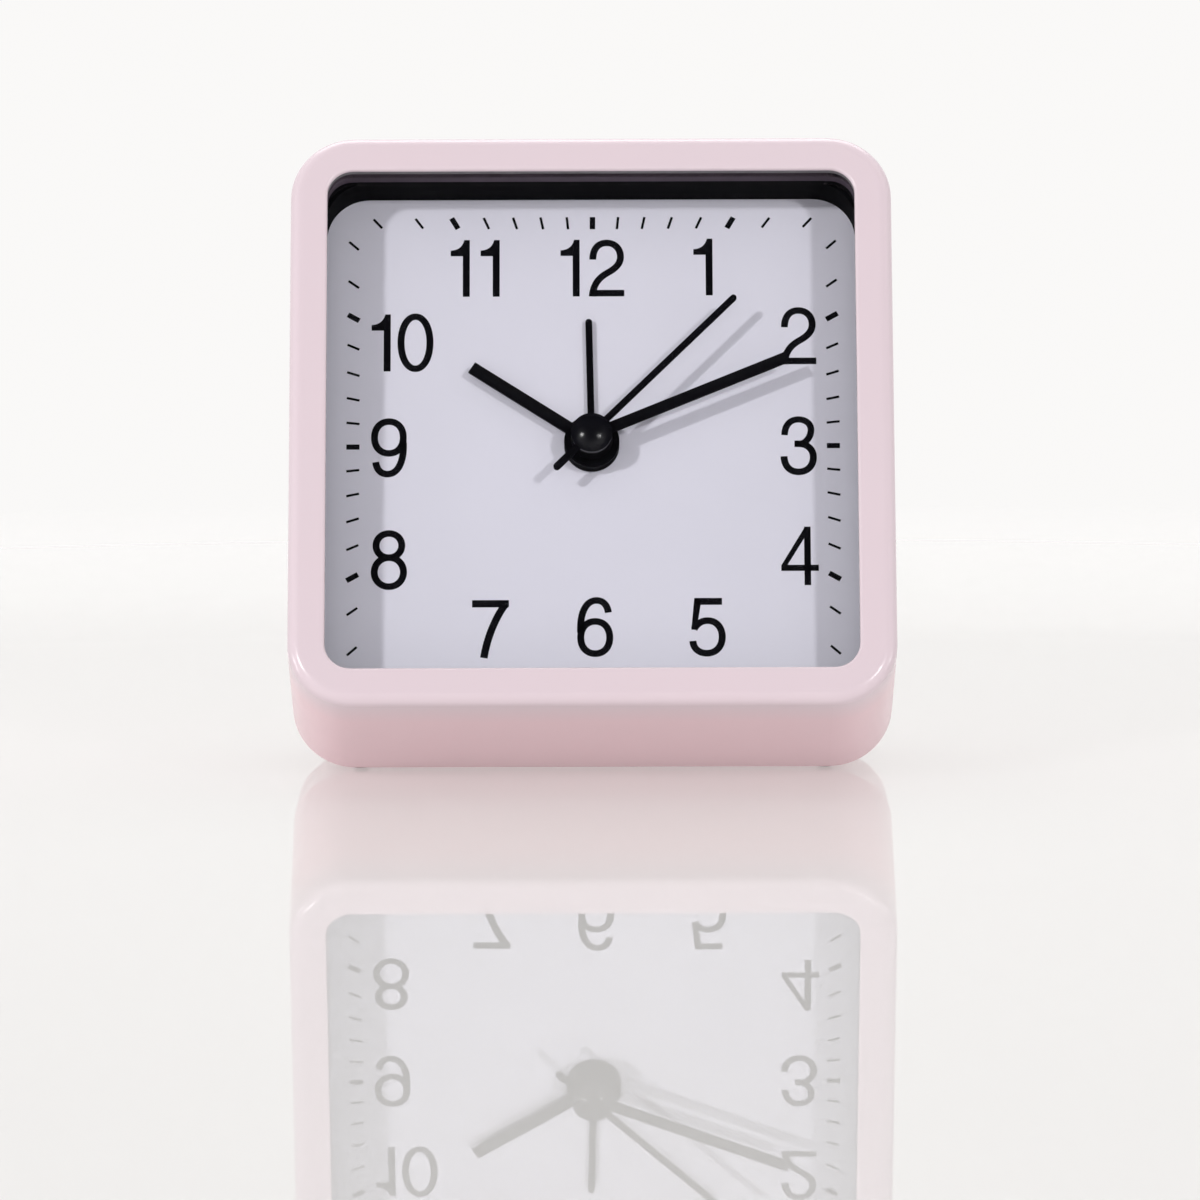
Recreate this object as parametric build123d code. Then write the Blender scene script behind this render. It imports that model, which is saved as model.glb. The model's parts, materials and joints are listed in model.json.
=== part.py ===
from build123d import *
import os
from math import cos, pi, radians, sin, tan

# Square table alarm clock that leans back on a sloped base, in millimetres.
# Every piece is drawn in the clock's own frame: x to the right, y up the face, z out of the dial,
# with the dial's front surface at z = 0 and the hands' axis at x = y = 0. The stand frame then tilts
# it back and puts the middle of the footprint, at table level, on the origin.

# Clearances
FIT_GAP = 0.2
SLIDE_GAP = 0.3
RUN = 0.05
LAYER_GAP = 0.3
HAND_GAP = 0.3

# Outer case and bezel
LEAN = 26.1
BORDER = 4.6
CORNER_R = 8.0
WALL = 2.2
FRONT_EDGE_R = 1.5
BACK_EDGE_R = 2.0
SEAM_CHAMFER = 0.25
SEAM_STEP = 0.65
REGISTER = 3.0
REGISTER_WALL = 1.2
OPENING_R = 3.2
OPENING_EDGE_R = 0.4

# Lens and dial stack
LIP = 0.6
GASKET = 0.8
LENS = 1.4
LENS_OVERLAP = 1.7
LENS_GAP = 2.09
SURROUND_SET = 0.3
SURROUND_ROUND = 2.2
SURROUND_STEP = 1.5
DIAL = 0.6
CARRIER = 2.0
CARRIER_HOLE_R = 6.0
SNAP_DROP = 5.8
SNAP_HOOK = 2.0
SNAP_WALL = 1.4
SNAP_REACH = 0.6
SNAP_HALF = 5.0

# Movement box and its wheels, from the dial to the back
BOX_WALL = 1.4
BOX_GAP = 0.6
FLOOR = 1.6
COVER = 1.6
COVER_GAP = 0.7
MIDDLE = 0.8
MIDDLE_RIM = 2.5
MIDDLE_POST_R = 1.2
PILLAR_R = 1.7
PILLAR_INSET = 2.2
WHEEL = 0.8
CANNON = 1.0
TRAIN_WHEEL = 0.6
FAST_WHEEL = 0.5
FAST_GAP = 0.25
CLUTCH = 0.25
CLUTCH_R = 2.8
PINION_OVER = 0.1
PIVOT_DEPTH = 0.8
PIVOT_END = 0.1

# Coaxial pipes and arbors
ARBOR_R = 0.5
PIPE_WALL = 0.5
PIVOT_R = 0.4
KNOB_ARBOR_R = 0.9

# Gear train: teeth and centre distances
ADDENDUM = 0.85
DEDENDUM = 1.15
TRAIN_D = 9.0
SECONDS_PINION, THIRD_TEETH = 8, 60
THIRD_PINION, CENTRE_TEETH = 8, 64
DRIVE_D = 9.6
SECONDS_TEETH, DRIVE_PINION = 40, 8
ROTOR_D = 7.0
ROTOR_PINION, DRIVE_TEETH = 8, 48
SETTING_D = 12.0
CANNON_TEETH, MOTION_TEETH = 12, 36
MOTION_PINION, HOUR_TEETH = 10, 40
ALARM_TEETH, ALARM_PINION = 44, 12
THIRD_ANGLE = -90.0
DRIVE_ANGLE = 90.0
ROTOR_ANGLE = 150.0
MOTION_ANGLE = 150.0
ALARM_ANGLE = 30.0

# Motor
MAGNET_R = 2.0
MAGNET = 2.3
MAGNET_GAP = 0.5
STATOR = 1.0
STATOR_DROP = 0.9
STATOR_SIDE = 4.85
STATOR_LEG = 3.1
CORE = 1.0
CORE_WIDTH = 2.6
CORE_LENGTH = 24.8
CORE_POST_R = 1.3
COIL_GAP = 1.5
COIL_R = 2.9
BOBBIN_R = 2.0
BOBBIN_FLANGE = 1.0
FLANGE_R = 3.2

# Board and electrics
BOARD = 1.0
BUZZER_R = 4.8
BUZZER_ANGLE = 125.0
BUZZER_GAP = 1.15
WINDOW_GAP = 1.4
SOUND_R = 3.0
SOUND_HOLE_R = 0.8
BUZZER_HOLE_R = 1.0
BUZZER_HOLE = 1.4
CHIP_X = -6.0
CHIP_R = 4.2
CHIP = 1.2
CRYSTAL_R = 1.0
CRYSTAL = 6.0
CONTACT = 0.3
CONTACT_HALF = 2.0
CONTACT_INSET = 2.4
SWITCH_LEAF_GAP = 1.3
SWITCH_LEAF_FOOT = 2.1
LEAF = 0.25
LEAF_REACH = 3.5
LEAF_HALF = 1.2

# Hands: rest angle clockwise from twelve, length and width
ALARM_REST = -1.15
ALARM_LENGTH = 16.8
ALARM_WIDTH = 0.85
HOUR_REST = -56.3
HOUR_LENGTH = 18.0
HOUR_WIDTH = 1.55
MINUTE_REST = 67.0
MINUTE_LENGTH = 26.7
MINUTE_WIDTH = 1.4
SECOND_REST = 44.6
SECOND_LENGTH = 25.7
SECOND_WIDTH = 0.8
TAIL_LENGTH = 6.6
TAIL_WIDTH = 0.9
BLADE = 0.4
BLADE_STEP = 0.15
MINUTE_STEP = 1.5
SECOND_STEP = 0.02
DIAL_GAP = 0.25
ALARM_BOSS = 0.7
HOUR_BOSS = 0.75
MINUTE_BOSS = 1.9
SECOND_BOSS = 0.45
BOSS_R = 3.45
MINUTE_BOSS_R = 2.6
SECOND_BOSS_R = 1.4
CAP_R = 2.57
CAP_RISE = 0.91
CAP_SEAT = 0.6
CAP_BORE = 0.55

# Battery and its door
CELL_R = 7.25
CELL_LENGTH = 49.5
CELL_NUB = 1.0
CELL_NUB_R = 2.7
SPRING_ROOM = 3.5
CONTACT_ROOM = 1.7
POCKET_WALL = 1.2
DOOR = 1.6
DOOR_GAP = 0.6
DOOR_SILL = 3.95
DOOR_PIN_R = 0.6
DOOR_PIN = 1.5
DOOR_BARREL_R = 0.8
DOOR_RIM = 1.6
GRIP_HALF = 6.0
GRIP_PITCH = 1.2
GRIP = 0.3

# Knobs, switch, screws and feet
KNOB_R = 6.0
KNOB_PROUD = 1.0
KNOB_DISH_R = 3.6
KNOB_DISH = 0.6
KNOB_CHAMFER = 0.6
KNOB_FLUTE_R = 0.5
KNOB_FLANGE = 1.6
KNOB_GAP = 1.5
WELL_DEPTH = 6.0
WELL_WALL = 1.2
SWITCH_SIDE = 1.9
SWITCH_TRAVEL = 4.0
SWITCH_PROUD = 0.8
SWITCH_PLATE = 1.2
NUB_HALF_X = 1.35
NUB_HALF_Y = 2.2
SLIDER_RIM_X = 1.25
SLIDER_RIM_Y = 2.4
STEM_HALF_X = 1.0
STEM_HALF_Y = 1.2
SCREW_R = 1.25
SCREW_HEAD_R = 2.5
SCREW_HEAD = 1.8
SCREW_SEAT = 1.6
SCREW_SLOT = 0.5
SCREW_POST_R = 2.8
SCREW_TUBE_R = 3.6
SCREW_TIP = 3.2
SCREW_CORNER = 6.1
SCREW_DROP = 3.5
EAR_SCREW_R = 1.0
EAR_STAND = 3.0
EAR_X = 2.6
EAR_Y = 4.0
EAR_HALF = 3.0
EAR_END = 2.4
EAR_HEAD_R = 1.9
EAR_HEAD = 1.3
EAR_POST_R = 2.2
COVER_SCREW_R = 0.75
COVER_SCREW = 6.0
FOOT_R = 0.9
FOOT_HEIGHT = 0.2
FOOT_SINK = 0.8
FOOT_SIDE = 0.5
FOOT_FRONT = 2.2
FOOT_REAR = 4.1

SIN = sin(radians(LEAN))
COS = cos(radians(LEAN))
TAN = tan(radians(LEAN))
CENTRE = (0.0, 0.0)


def polar(distance, angle, start=CENTRE):
    return start[0] + distance * cos(radians(angle)), start[1] + distance * sin(radians(angle))


def tip_radius(teeth, module):
    return module * (teeth / 2 + ADDENDUM)


# Pipes, each running on the one inside it
TUBE_R = ARBOR_R + RUN + PIPE_WALL
HOUR_PIPE_R = TUBE_R + RUN + PIPE_WALL
ALARM_PIPE_R = HOUR_PIPE_R + RUN + PIPE_WALL

# Gear modules and places
THIRD_AT = polar(TRAIN_D, THIRD_ANGLE)
DRIVE_AT = polar(DRIVE_D, DRIVE_ANGLE)
ROTOR_AT = polar(ROTOR_D, ROTOR_ANGLE, DRIVE_AT)
MOTION_AT = polar(SETTING_D, MOTION_ANGLE)
ALARM_AT = polar(SETTING_D, ALARM_ANGLE)
KNOB_AXES = (MOTION_AT, ALARM_AT)
SECONDS_MODULE = 2 * TRAIN_D / (SECONDS_PINION + THIRD_TEETH)
CENTRE_MODULE = 2 * TRAIN_D / (THIRD_PINION + CENTRE_TEETH)
DRIVE_MODULE = 2 * DRIVE_D / (SECONDS_TEETH + DRIVE_PINION)
ROTOR_MODULE = 2 * ROTOR_D / (ROTOR_PINION + DRIVE_TEETH)
CANNON_MODULE = 2 * SETTING_D / (CANNON_TEETH + MOTION_TEETH)
HOUR_MODULE = 2 * SETTING_D / (MOTION_PINION + HOUR_TEETH)
ALARM_MODULE = 2 * SETTING_D / (ALARM_TEETH + ALARM_PINION)

# Levels behind the dial
CARRIER_Z = -DIAL
PLATE_Z = CARRIER_Z - CARRIER
SNAP_Z = PLATE_Z - SNAP_DROP
FLOOR_Z = PLATE_Z - FLOOR
BOARD_Z = FLOOR_Z - BOARD
ALARM_WHEEL_Z = FLOOR_Z - LAYER_GAP
HOUR_WHEEL_Z = ALARM_WHEEL_Z - WHEEL - LAYER_GAP
CANNON_Z = HOUR_WHEEL_Z - WHEEL - LAYER_GAP
MIDDLE_Z = CANNON_Z - CANNON - FIT_GAP
MIDDLE_BACK = MIDDLE_Z - MIDDLE
CENTRE_WHEEL_Z = MIDDLE_BACK - LAYER_GAP
CLUTCH_Z = CENTRE_WHEEL_Z - TRAIN_WHEEL
CLUTCH_BACK = CLUTCH_Z - CLUTCH
THIRD_WHEEL_Z = CLUTCH_BACK - LAYER_GAP
SECONDS_WHEEL_Z = THIRD_WHEEL_Z - TRAIN_WHEEL - FAST_GAP
DRIVE_WHEEL_Z = SECONDS_WHEEL_Z - FAST_WHEEL - LAYER_GAP
COVER_Z = DRIVE_WHEEL_Z - FAST_WHEEL - COVER_GAP
BOX_BACK = COVER_Z - COVER
SEAM_Z = BOX_BACK + SEAM_STEP
STATOR_Z = MIDDLE_BACK - STATOR_DROP
CORE_Z = STATOR_Z + CORE
CELL_Z = BOX_BACK - CONTACT_ROOM - CELL_R
POCKET_Z = CELL_Z + CELL_R
DOOR_Z = CELL_Z - CELL_R - DOOR_GAP
BACK_Z = DOOR_Z - DOOR
KNOB_BACK = BACK_Z - KNOB_PROUD
WELL_Z = BACK_Z + WELL_DEPTH
SLIDER_Z = BACK_Z + WALL
DOOR_AXIS_Z = BACK_Z + DOOR_BARREL_R + FIT_GAP
POST_BACK = BOX_BACK - FIT_GAP / 2
POST_SEAT = POST_BACK - SCREW_SEAT
SCREW_TIP_Z = PLATE_Z - SCREW_TIP

# Levels in front of the dial
ALARM_HAND_Z = DIAL_GAP
HOUR_HAND_Z = ALARM_HAND_Z + ALARM_BOSS + HAND_GAP
MINUTE_HAND_Z = HOUR_HAND_Z + HOUR_BOSS + HAND_GAP
SECOND_HAND_Z = MINUTE_HAND_Z + MINUTE_BOSS + HAND_GAP
SECOND_TOP = SECOND_HAND_Z + SECOND_BOSS
ARBOR_TOP = SECOND_TOP + CAP_BORE
CAP_Z = SECOND_HAND_Z + CAP_SEAT
STACK_Z = CAP_Z + CAP_RISE + LENS_GAP
LENS_Z = STACK_Z + LENS
LIP_Z = LENS_Z + GASKET
FRONT_Z = LIP_Z + LIP

# Movement box across the face: wide enough for the buzzer, tall enough for the coil
BUZZER_AT = polar(
    tip_radius(MOTION_TEETH, CANNON_MODULE) + BUZZER_GAP + BUZZER_R, BUZZER_ANGLE, MOTION_AT
)
BOX_X = BUZZER_R - BUZZER_AT[0] + BOX_GAP + BOX_WALL
BOX_INNER = BOX_X - BOX_WALL
COIL_Y = DRIVE_AT[1] + tip_radius(DRIVE_TEETH, ROTOR_MODULE) + COIL_GAP + FLANGE_R
BOX_TOP = COIL_Y + FLANGE_R + SLIDE_GAP + PILLAR_R + PILLAR_INSET
CORE_X0 = ROTOR_AT[0] - STATOR_SIDE
CORE_X1 = CORE_X0 + CORE_LENGTH
CORE_POSTS = [(CORE_X0 + STATOR_LEG / 2, COIL_Y), (CORE_X1 - STATOR_LEG / 2, COIL_Y)]
MIDDLE_R = SETTING_D + MIDDLE_RIM
MIDDLE_POSTS = [polar(MIDDLE_R - MIDDLE_POST_R / 2, angle) for angle in (-25, 77, 205)]
WINDOW_X = MIDDLE_R - SLIDE_GAP
WINDOW_Y = -tip_radius(ALARM_TEETH, ALARM_MODULE) - WINDOW_GAP

# Case round the battery, the screws beside it and the movement box
POCKET_X = (CELL_LENGTH + CELL_NUB + SPRING_ROOM) / 2 + CONTACT
POCKET_HALF = CELL_R + SLIDE_GAP
PAST_POCKET = POCKET_X + POCKET_WALL + 2 * (SCREW_TUBE_R - FIT_GAP)
PAST_BOX = BOX_X + SCREW_POST_R + SLIDE_GAP + SCREW_CORNER
CAVITY = max(PAST_POCKET, PAST_BOX)
HALF = CAVITY + WALL
CAVITY_R = CORNER_R - WALL
STACK_HALF = CAVITY - SLIDE_GAP
STACK_R = CAVITY_R - SLIDE_GAP
OPENING = HALF - BORDER
LENS_HALF = OPENING + LENS_OVERLAP
LENS_R = OPENING_R + LENS_OVERLAP
SURROUND_HALF = OPENING + SURROUND_SET
SURROUND_R = OPENING_R + SURROUND_ROUND

# Rear housing, up from the sloped base
BASE_REAR_Y = -HALF + (SEAM_Z - BACK_Z) * TAN
DOOR_AXIS_Y = BASE_REAR_Y + DOOR_SILL
DOOR_X = POCKET_X + DOOR_RIM
CELL_Y = DOOR_AXIS_Y + DOOR_BARREL_R + FIT_GAP + POCKET_HALF
DOOR_TOP = CELL_Y + POCKET_HALF + DOOR_RIM - SLIDE_GAP
BOX_BOTTOM = CELL_Y - POCKET_HALF - DOOR_BARREL_R
BOARD_Y = BOX_BOTTOM + BOX_WALL + SLIDE_GAP
CHIP_Y = (BOARD_Y + WINDOW_Y) / 2
PILLAR_TOP_X = -BUZZER_AT[0] - BUZZER_R - PILLAR_R - SLIDE_GAP
PILLARS = [(side * PILLAR_TOP_X, BOX_TOP - PILLAR_INSET) for side in (1, -1)]
PILLARS += [(side * (BOX_X - PILLAR_INSET), BOX_BOTTOM + PILLAR_INSET) for side in (1, -1)]
CONTACT_X = BOX_X - CONTACT_INSET
WELL_R = KNOB_R + KNOB_GAP
PAST_WELL = ALARM_AT[0] + WELL_R + WELL_WALL + SWITCH_SIDE
PAST_CORE = CORE_X1 + SLIDE_GAP + CONTACT + SWITCH_LEAF_GAP + STEM_HALF_X
SWITCH_X = max(PAST_WELL, PAST_CORE)
SWITCH_Y = ALARM_AT[1] + WELL_R + WELL_WALL + SLIDE_GAP
SCREW_TOP = CAVITY - SCREW_CORNER
SCREW_SIDE = CAVITY - SLIDE_GAP - SCREW_TUBE_R
CASE_SCREWS = [(side * SCREW_TOP, SCREW_TOP) for side in (1, -1)]
CASE_SCREWS += [(side * SCREW_SIDE, CELL_Y - SCREW_DROP) for side in (1, -1)]
EAR_SCREWS = [(side * (BOX_X + EAR_X), EAR_Y) for side in (1, -1)]
FOOT_X = HALF - CORNER_R - FOOT_SIDE
BASE_DEPTH = (SEAM_Z - BACK_Z) / COS


def block(x0, x1, y0, y1, z0, z1):
    return Pos((x0 + x1) / 2, (y0 + y1) / 2, (z0 + z1) / 2) * Box(abs(x1 - x0), y1 - y0, z1 - z0)


def rod(at, radius, z0, z1):
    return Pos(at[0], at[1], (z0 + z1) / 2) * Cylinder(radius, z1 - z0)


def square(half, radius, z0, z1):
    return Pos(0, 0, z0) * extrude(RectangleRounded(2 * half, 2 * half, radius), z1 - z0)


def under_base(lift):
    """Everything below the table plane raised by lift, in the clock's frame."""
    plane = Plane(
        origin=(0, -HALF + lift * COS, SEAM_Z + lift * SIN), x_dir=(1, 0, 0), z_dir=(0, COS, SIN)
    )
    reach = 4 * HALF
    return plane.location * (Pos(0, 0, -reach / 2) * Box(reach, reach, reach))


def leaning_walls(half, radius, lift, z0, z1):
    """Square walls that end on the table plane raised by lift, with lower corners as round as the upper."""
    outline = RectangleRounded(2 * half, 4 * half, radius)
    run = z1 - z0
    low = -HALF + lift / COS + (SEAM_Z - z1) * TAN
    upright = Pos(0, -half, z0) * extrude(outline, run)
    front = Pos(0, low + 2 * half, z1) * outline
    return upright & Solid.extrude(front.face(), (0, run * TAN, -run))


def gear(at, teeth, module, phase, z0, z1, bore):
    """A wheel or pinion with one tooth centred on the phase angle."""
    pitch = teeth * module / 2
    tip = tip_radius(teeth, module)
    root = pitch - DEDENDUM * module
    half_pitch = 0.20 * pi * module
    half_tip = 0.09 * pi * module
    half_root = half_pitch * root / pitch if teeth < 16 else 0.30 * pi * module
    flank = [(root, -half_root), (pitch, -half_pitch), (tip, -half_tip)]
    flank += [(r, -h) for r, h in reversed(flank)]
    points = []
    for i in range(teeth):
        angle = radians(phase) + 2 * pi * i / teeth
        points += [(r * cos(angle + h / r), r * sin(angle + h / r)) for r, h in flank]
    face = Polygon(*points, align=None)
    if bore:
        face -= Circle(bore)
    return Pos(at[0], at[1], z0) * extrude(face, z1 - z0)


def gap_phase(angle, teeth):
    """Phase that puts a gap of the driven wheel opposite a tooth that points along angle."""
    return angle + 180 + 180 / teeth


# Case pieces


def front_case():
    shell = square(HALF, CORNER_R, SEAM_Z, FRONT_Z)
    shell = fillet(shell.edges().group_by(Axis.Z)[-1], FRONT_EDGE_R)
    shell = chamfer(shell.edges().group_by(Axis.Z)[0], SEAM_CHAMFER)
    shell -= square(CAVITY, CAVITY_R, SEAM_Z - 1, STACK_Z)
    shell -= square(LENS_HALF + FIT_GAP, LENS_R + FIT_GAP, STACK_Z - 1, LIP_Z)
    shell -= square(OPENING, OPENING_R, LIP_Z - 1, FRONT_Z + 1)
    rim = [
        e
        for e in shell.edges().group_by(Axis.Z)[-1]
        if max(abs(e.center().X), abs(e.center().Y)) < OPENING + SEAM_CHAMFER
    ]
    shell = fillet(rim, OPENING_EDGE_R)
    groove = block(
        CAVITY - 1, CAVITY + SNAP_REACH + SLIDE_GAP, -SNAP_HALF - 1, SNAP_HALF + 1,
        SNAP_Z - FIT_GAP, SNAP_Z + SNAP_HOOK + FIT_GAP,
    )
    for angle in range(0, 360, 90):
        shell -= Rot(0, 0, angle) * groove
    return shell


def register_lip():
    """The rim that slips inside the front case and locates the rear housing."""
    outer = CAVITY - FIT_GAP
    inner = outer - REGISTER_WALL
    lip = square(outer, CAVITY_R - FIT_GAP, SEAM_Z - WALL, SEAM_Z + REGISTER)
    lip += square(CAVITY + FIT_GAP, CAVITY_R + FIT_GAP, SEAM_Z - WALL, SEAM_Z)
    lip -= square(inner, CAVITY_R - FIT_GAP - REGISTER_WALL, SEAM_Z - WALL - 1, SEAM_Z + REGISTER + 1)
    for at in CASE_SCREWS:
        lip -= rod(at, SCREW_POST_R + SLIDE_GAP, SEAM_Z - WALL - 1, SEAM_Z + REGISTER + 1)
    return lip


def rear_housing():
    body = leaning_walls(HALF, CORNER_R, 0, BACK_Z, SEAM_Z)
    body = fillet(body.edges().group_by(Axis.Z)[0], BACK_EDGE_R)
    body = chamfer(body.edges().group_by(Axis.Z)[-1], SEAM_CHAMFER)
    body -= leaning_walls(CAVITY, CAVITY_R, WALL, BACK_Z + WALL, SEAM_Z + 1)
    body += register_lip() - under_base(WALL / 2)
    back = BACK_Z + WALL / 4
    out = BACK_Z - 1
    wall_front = BACK_Z + WALL + 1
    pocket_x = POCKET_X + POCKET_WALL
    pocket_y = POCKET_HALF + POCKET_WALL
    pocket_front = POCKET_Z + POCKET_WALL
    barrel = DOOR_BARREL_R + SLIDE_GAP
    bar_x = DOOR_X + DOOR_PIN + POCKET_WALL / 2
    door_low = DOOR_AXIS_Y - barrel - SLIDE_GAP
    body += block(-pocket_x, pocket_x, CELL_Y - pocket_y, CELL_Y + pocket_y, back, pocket_front)
    for at in CASE_SCREWS:
        body += rod(at, SCREW_TUBE_R, back, POST_BACK)
    body += block(
        -bar_x, bar_x, door_low - POCKET_WALL, DOOR_AXIS_Y + barrel, back, DOOR_AXIS_Z + barrel + POCKET_WALL
    )
    for at in KNOB_AXES:
        body += rod(at, WELL_R + WELL_WALL, back, WELL_Z + WELL_WALL)
    body -= block(-POCKET_X, POCKET_X, CELL_Y - POCKET_HALF, CELL_Y + POCKET_HALF, out, POCKET_Z)
    body -= block(-DOOR_X, DOOR_X, door_low, DOOR_TOP + SLIDE_GAP, out, DOOR_Z)
    body -= block(-DOOR_X, DOOR_X, door_low, DOOR_AXIS_Y + barrel, out, DOOR_AXIS_Z + barrel)
    pins = Rot(0, 90, 0) * Cylinder(DOOR_PIN_R + RUN, 2 * (DOOR_X + DOOR_PIN))
    body -= Pos(0, DOOR_AXIS_Y, DOOR_AXIS_Z) * pins
    for at in KNOB_AXES:
        body -= rod(at, WELL_R, out, WELL_Z)
        body -= rod(at, KNOB_ARBOR_R + KNOB_GAP / 2, WELL_Z - 1, WELL_Z + WELL_WALL + 1)
    for at in CASE_SCREWS:
        body -= rod(at, SCREW_HEAD_R + SLIDE_GAP, out, POST_SEAT)
        body -= rod(at, SCREW_R + FIT_GAP, BACK_Z, POST_BACK + 1)
    half_x = NUB_HALF_X + SLIDE_GAP
    half_y = NUB_HALF_Y + SLIDE_GAP
    body -= block(
        SWITCH_X - half_x, SWITCH_X + half_x, SWITCH_Y - half_y, SWITCH_Y + SWITCH_TRAVEL + half_y,
        out, wall_front,
    )
    for at in sound_spots():
        body -= rod(at, SOUND_HOLE_R, out, wall_front)
    half_y = CONTACT_HALF + RUN
    for side in (1, -1):
        middle = side * (POCKET_X - CONTACT / 2)
        half_x = CONTACT / 2 + RUN
        body -= block(
            middle - half_x, middle + half_x, CELL_Y - half_y, CELL_Y + half_y,
            POCKET_Z - 1, pocket_front + 1,
        )
    for spot in foot_spots():
        body -= spot * (Pos(0, 0, FOOT_SINK / 2) * Cylinder(FOOT_R, FOOT_SINK))
    return body


def sound_spots():
    return [BUZZER_AT] + [polar(SOUND_R, 60 * i, BUZZER_AT) for i in range(6)]


def base_spot(x, distance):
    """Frame on the base: z is up off the table, at a distance behind the contact line."""
    return Plane(
        origin=(x, -HALF + distance * SIN, SEAM_Z - distance * COS), x_dir=(1, 0, 0), z_dir=(0, COS, SIN)
    ).location


def foot_spots():
    rows = (FOOT_FRONT, BASE_DEPTH - FOOT_REAR)
    return [base_spot(x, distance) for x in (FOOT_X, -FOOT_X) for distance in rows]


def feet():
    height = FOOT_HEIGHT + FOOT_SINK
    stud = Pos(0, 0, height / 2 - FOOT_HEIGHT) * Cylinder(FOOT_R, height)
    return Part() + [spot * stud for spot in foot_spots()]


def battery_door():
    half = DOOR_X - SLIDE_GAP
    axis = Pos(0, DOOR_AXIS_Y, DOOR_AXIS_Z) * Rot(0, 90, 0)
    door = block(-half, half, DOOR_AXIS_Y, DOOR_TOP, BACK_Z, DOOR_Z)
    door += axis * Cylinder(DOOR_BARREL_R, 2 * half)
    door += axis * Cylinder(DOOR_PIN_R, 2 * (DOOR_X + DOOR_PIN - SLIDE_GAP))
    for i in range(5):
        y = DOOR_TOP - GRIP_PITCH * (i + 2)
        door -= block(-GRIP_HALF, GRIP_HALF, y - GRIP, y + GRIP, BACK_Z - 1, BACK_Z + GRIP)
    return door


# Lens, dial and carrier


def lens_gasket():
    ring = square(LENS_HALF, LENS_R, LENS_Z, LIP_Z)
    return ring - square(OPENING, OPENING_R, LENS_Z - 1, LIP_Z + 1)


def lens():
    return square(LENS_HALF, LENS_R, STACK_Z, LENS_Z)


def dial_surround():
    step = STACK_Z - SURROUND_STEP
    ring = square(STACK_HALF, STACK_R, 0, STACK_Z)
    ring -= square(SURROUND_HALF, SURROUND_R, -1, step)
    return ring - square(OPENING + 2 * RUN, OPENING_R, step - 1, STACK_Z + 1)


def dial():
    return square(STACK_HALF, STACK_R, CARRIER_Z, 0) - rod(CENTRE, ALARM_PIPE_R + PIPE_WALL, -5, 5)


def movement_carrier():
    plate = square(STACK_HALF, STACK_R, PLATE_Z, CARRIER_Z)
    plate -= rod(CENTRE, CARRIER_HOLE_R, PLATE_Z - 1, 0)
    root = STACK_HALF - SNAP_WALL
    tongue = block(root, STACK_HALF, -SNAP_HALF, SNAP_HALF, SNAP_Z, PLATE_Z)
    tongue += block(root, CAVITY + SNAP_REACH, -SNAP_HALF, SNAP_HALF, SNAP_Z, SNAP_Z + SNAP_HOOK)
    for angle in range(0, 360, 90):
        plate += Rot(0, 0, angle) * tongue
    for at in CASE_SCREWS:
        plate += rod(at, SCREW_POST_R, POST_BACK, PLATE_Z)
        plate -= rod(at, SCREW_R, POST_BACK - 1, SCREW_TIP_Z + 2 * SLIDE_GAP)
    for at in EAR_SCREWS:
        plate += rod(at, EAR_POST_R, PLATE_Z - EAR_STAND, PLATE_Z)
        plate -= rod(at, EAR_SCREW_R, PLATE_Z - EAR_STAND - 1, PLATE_Z + CARRIER / 2 + FIT_GAP)
    return plate


def screw(at, head_z, tip_z, shank, head, height):
    piece = rod(at, shank, head_z, tip_z) + rod(at, head, head_z - height, head_z)
    slot = Pos(at[0], at[1], head_z - height)
    length = 2 * (head - SCREW_SLOT)
    return piece - slot * Box(length, SCREW_SLOT, height) - slot * Box(SCREW_SLOT, length, height)


def case_screws():
    size = (SCREW_R, SCREW_HEAD_R, SCREW_HEAD)
    return Part() + [screw(at, POST_SEAT, SCREW_TIP_Z, *size) for at in CASE_SCREWS]


def movement_screws():
    seat = PLATE_Z - EAR_STAND - FLOOR
    size = (EAR_SCREW_R, EAR_HEAD_R, EAR_HEAD)
    return Part() + [screw(at, seat, PLATE_Z + CARRIER / 2, *size) for at in EAR_SCREWS]


def cover_screws():
    seat = COVER_Z - COVER / 3
    size = (COVER_SCREW_R, 2 * COVER_SCREW_R, COVER - COVER / 3)
    return Part() + [screw(at, seat, seat + COVER_SCREW, *size) for at in PILLARS]


# Movement box


def bearings(z0, z1):
    """Pivot holes of the going train, as cutters."""
    return Part() + [rod(at, PIVOT_R + RUN, z0, z1) for at in (THIRD_AT, DRIVE_AT, ROTOR_AT)]


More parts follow.
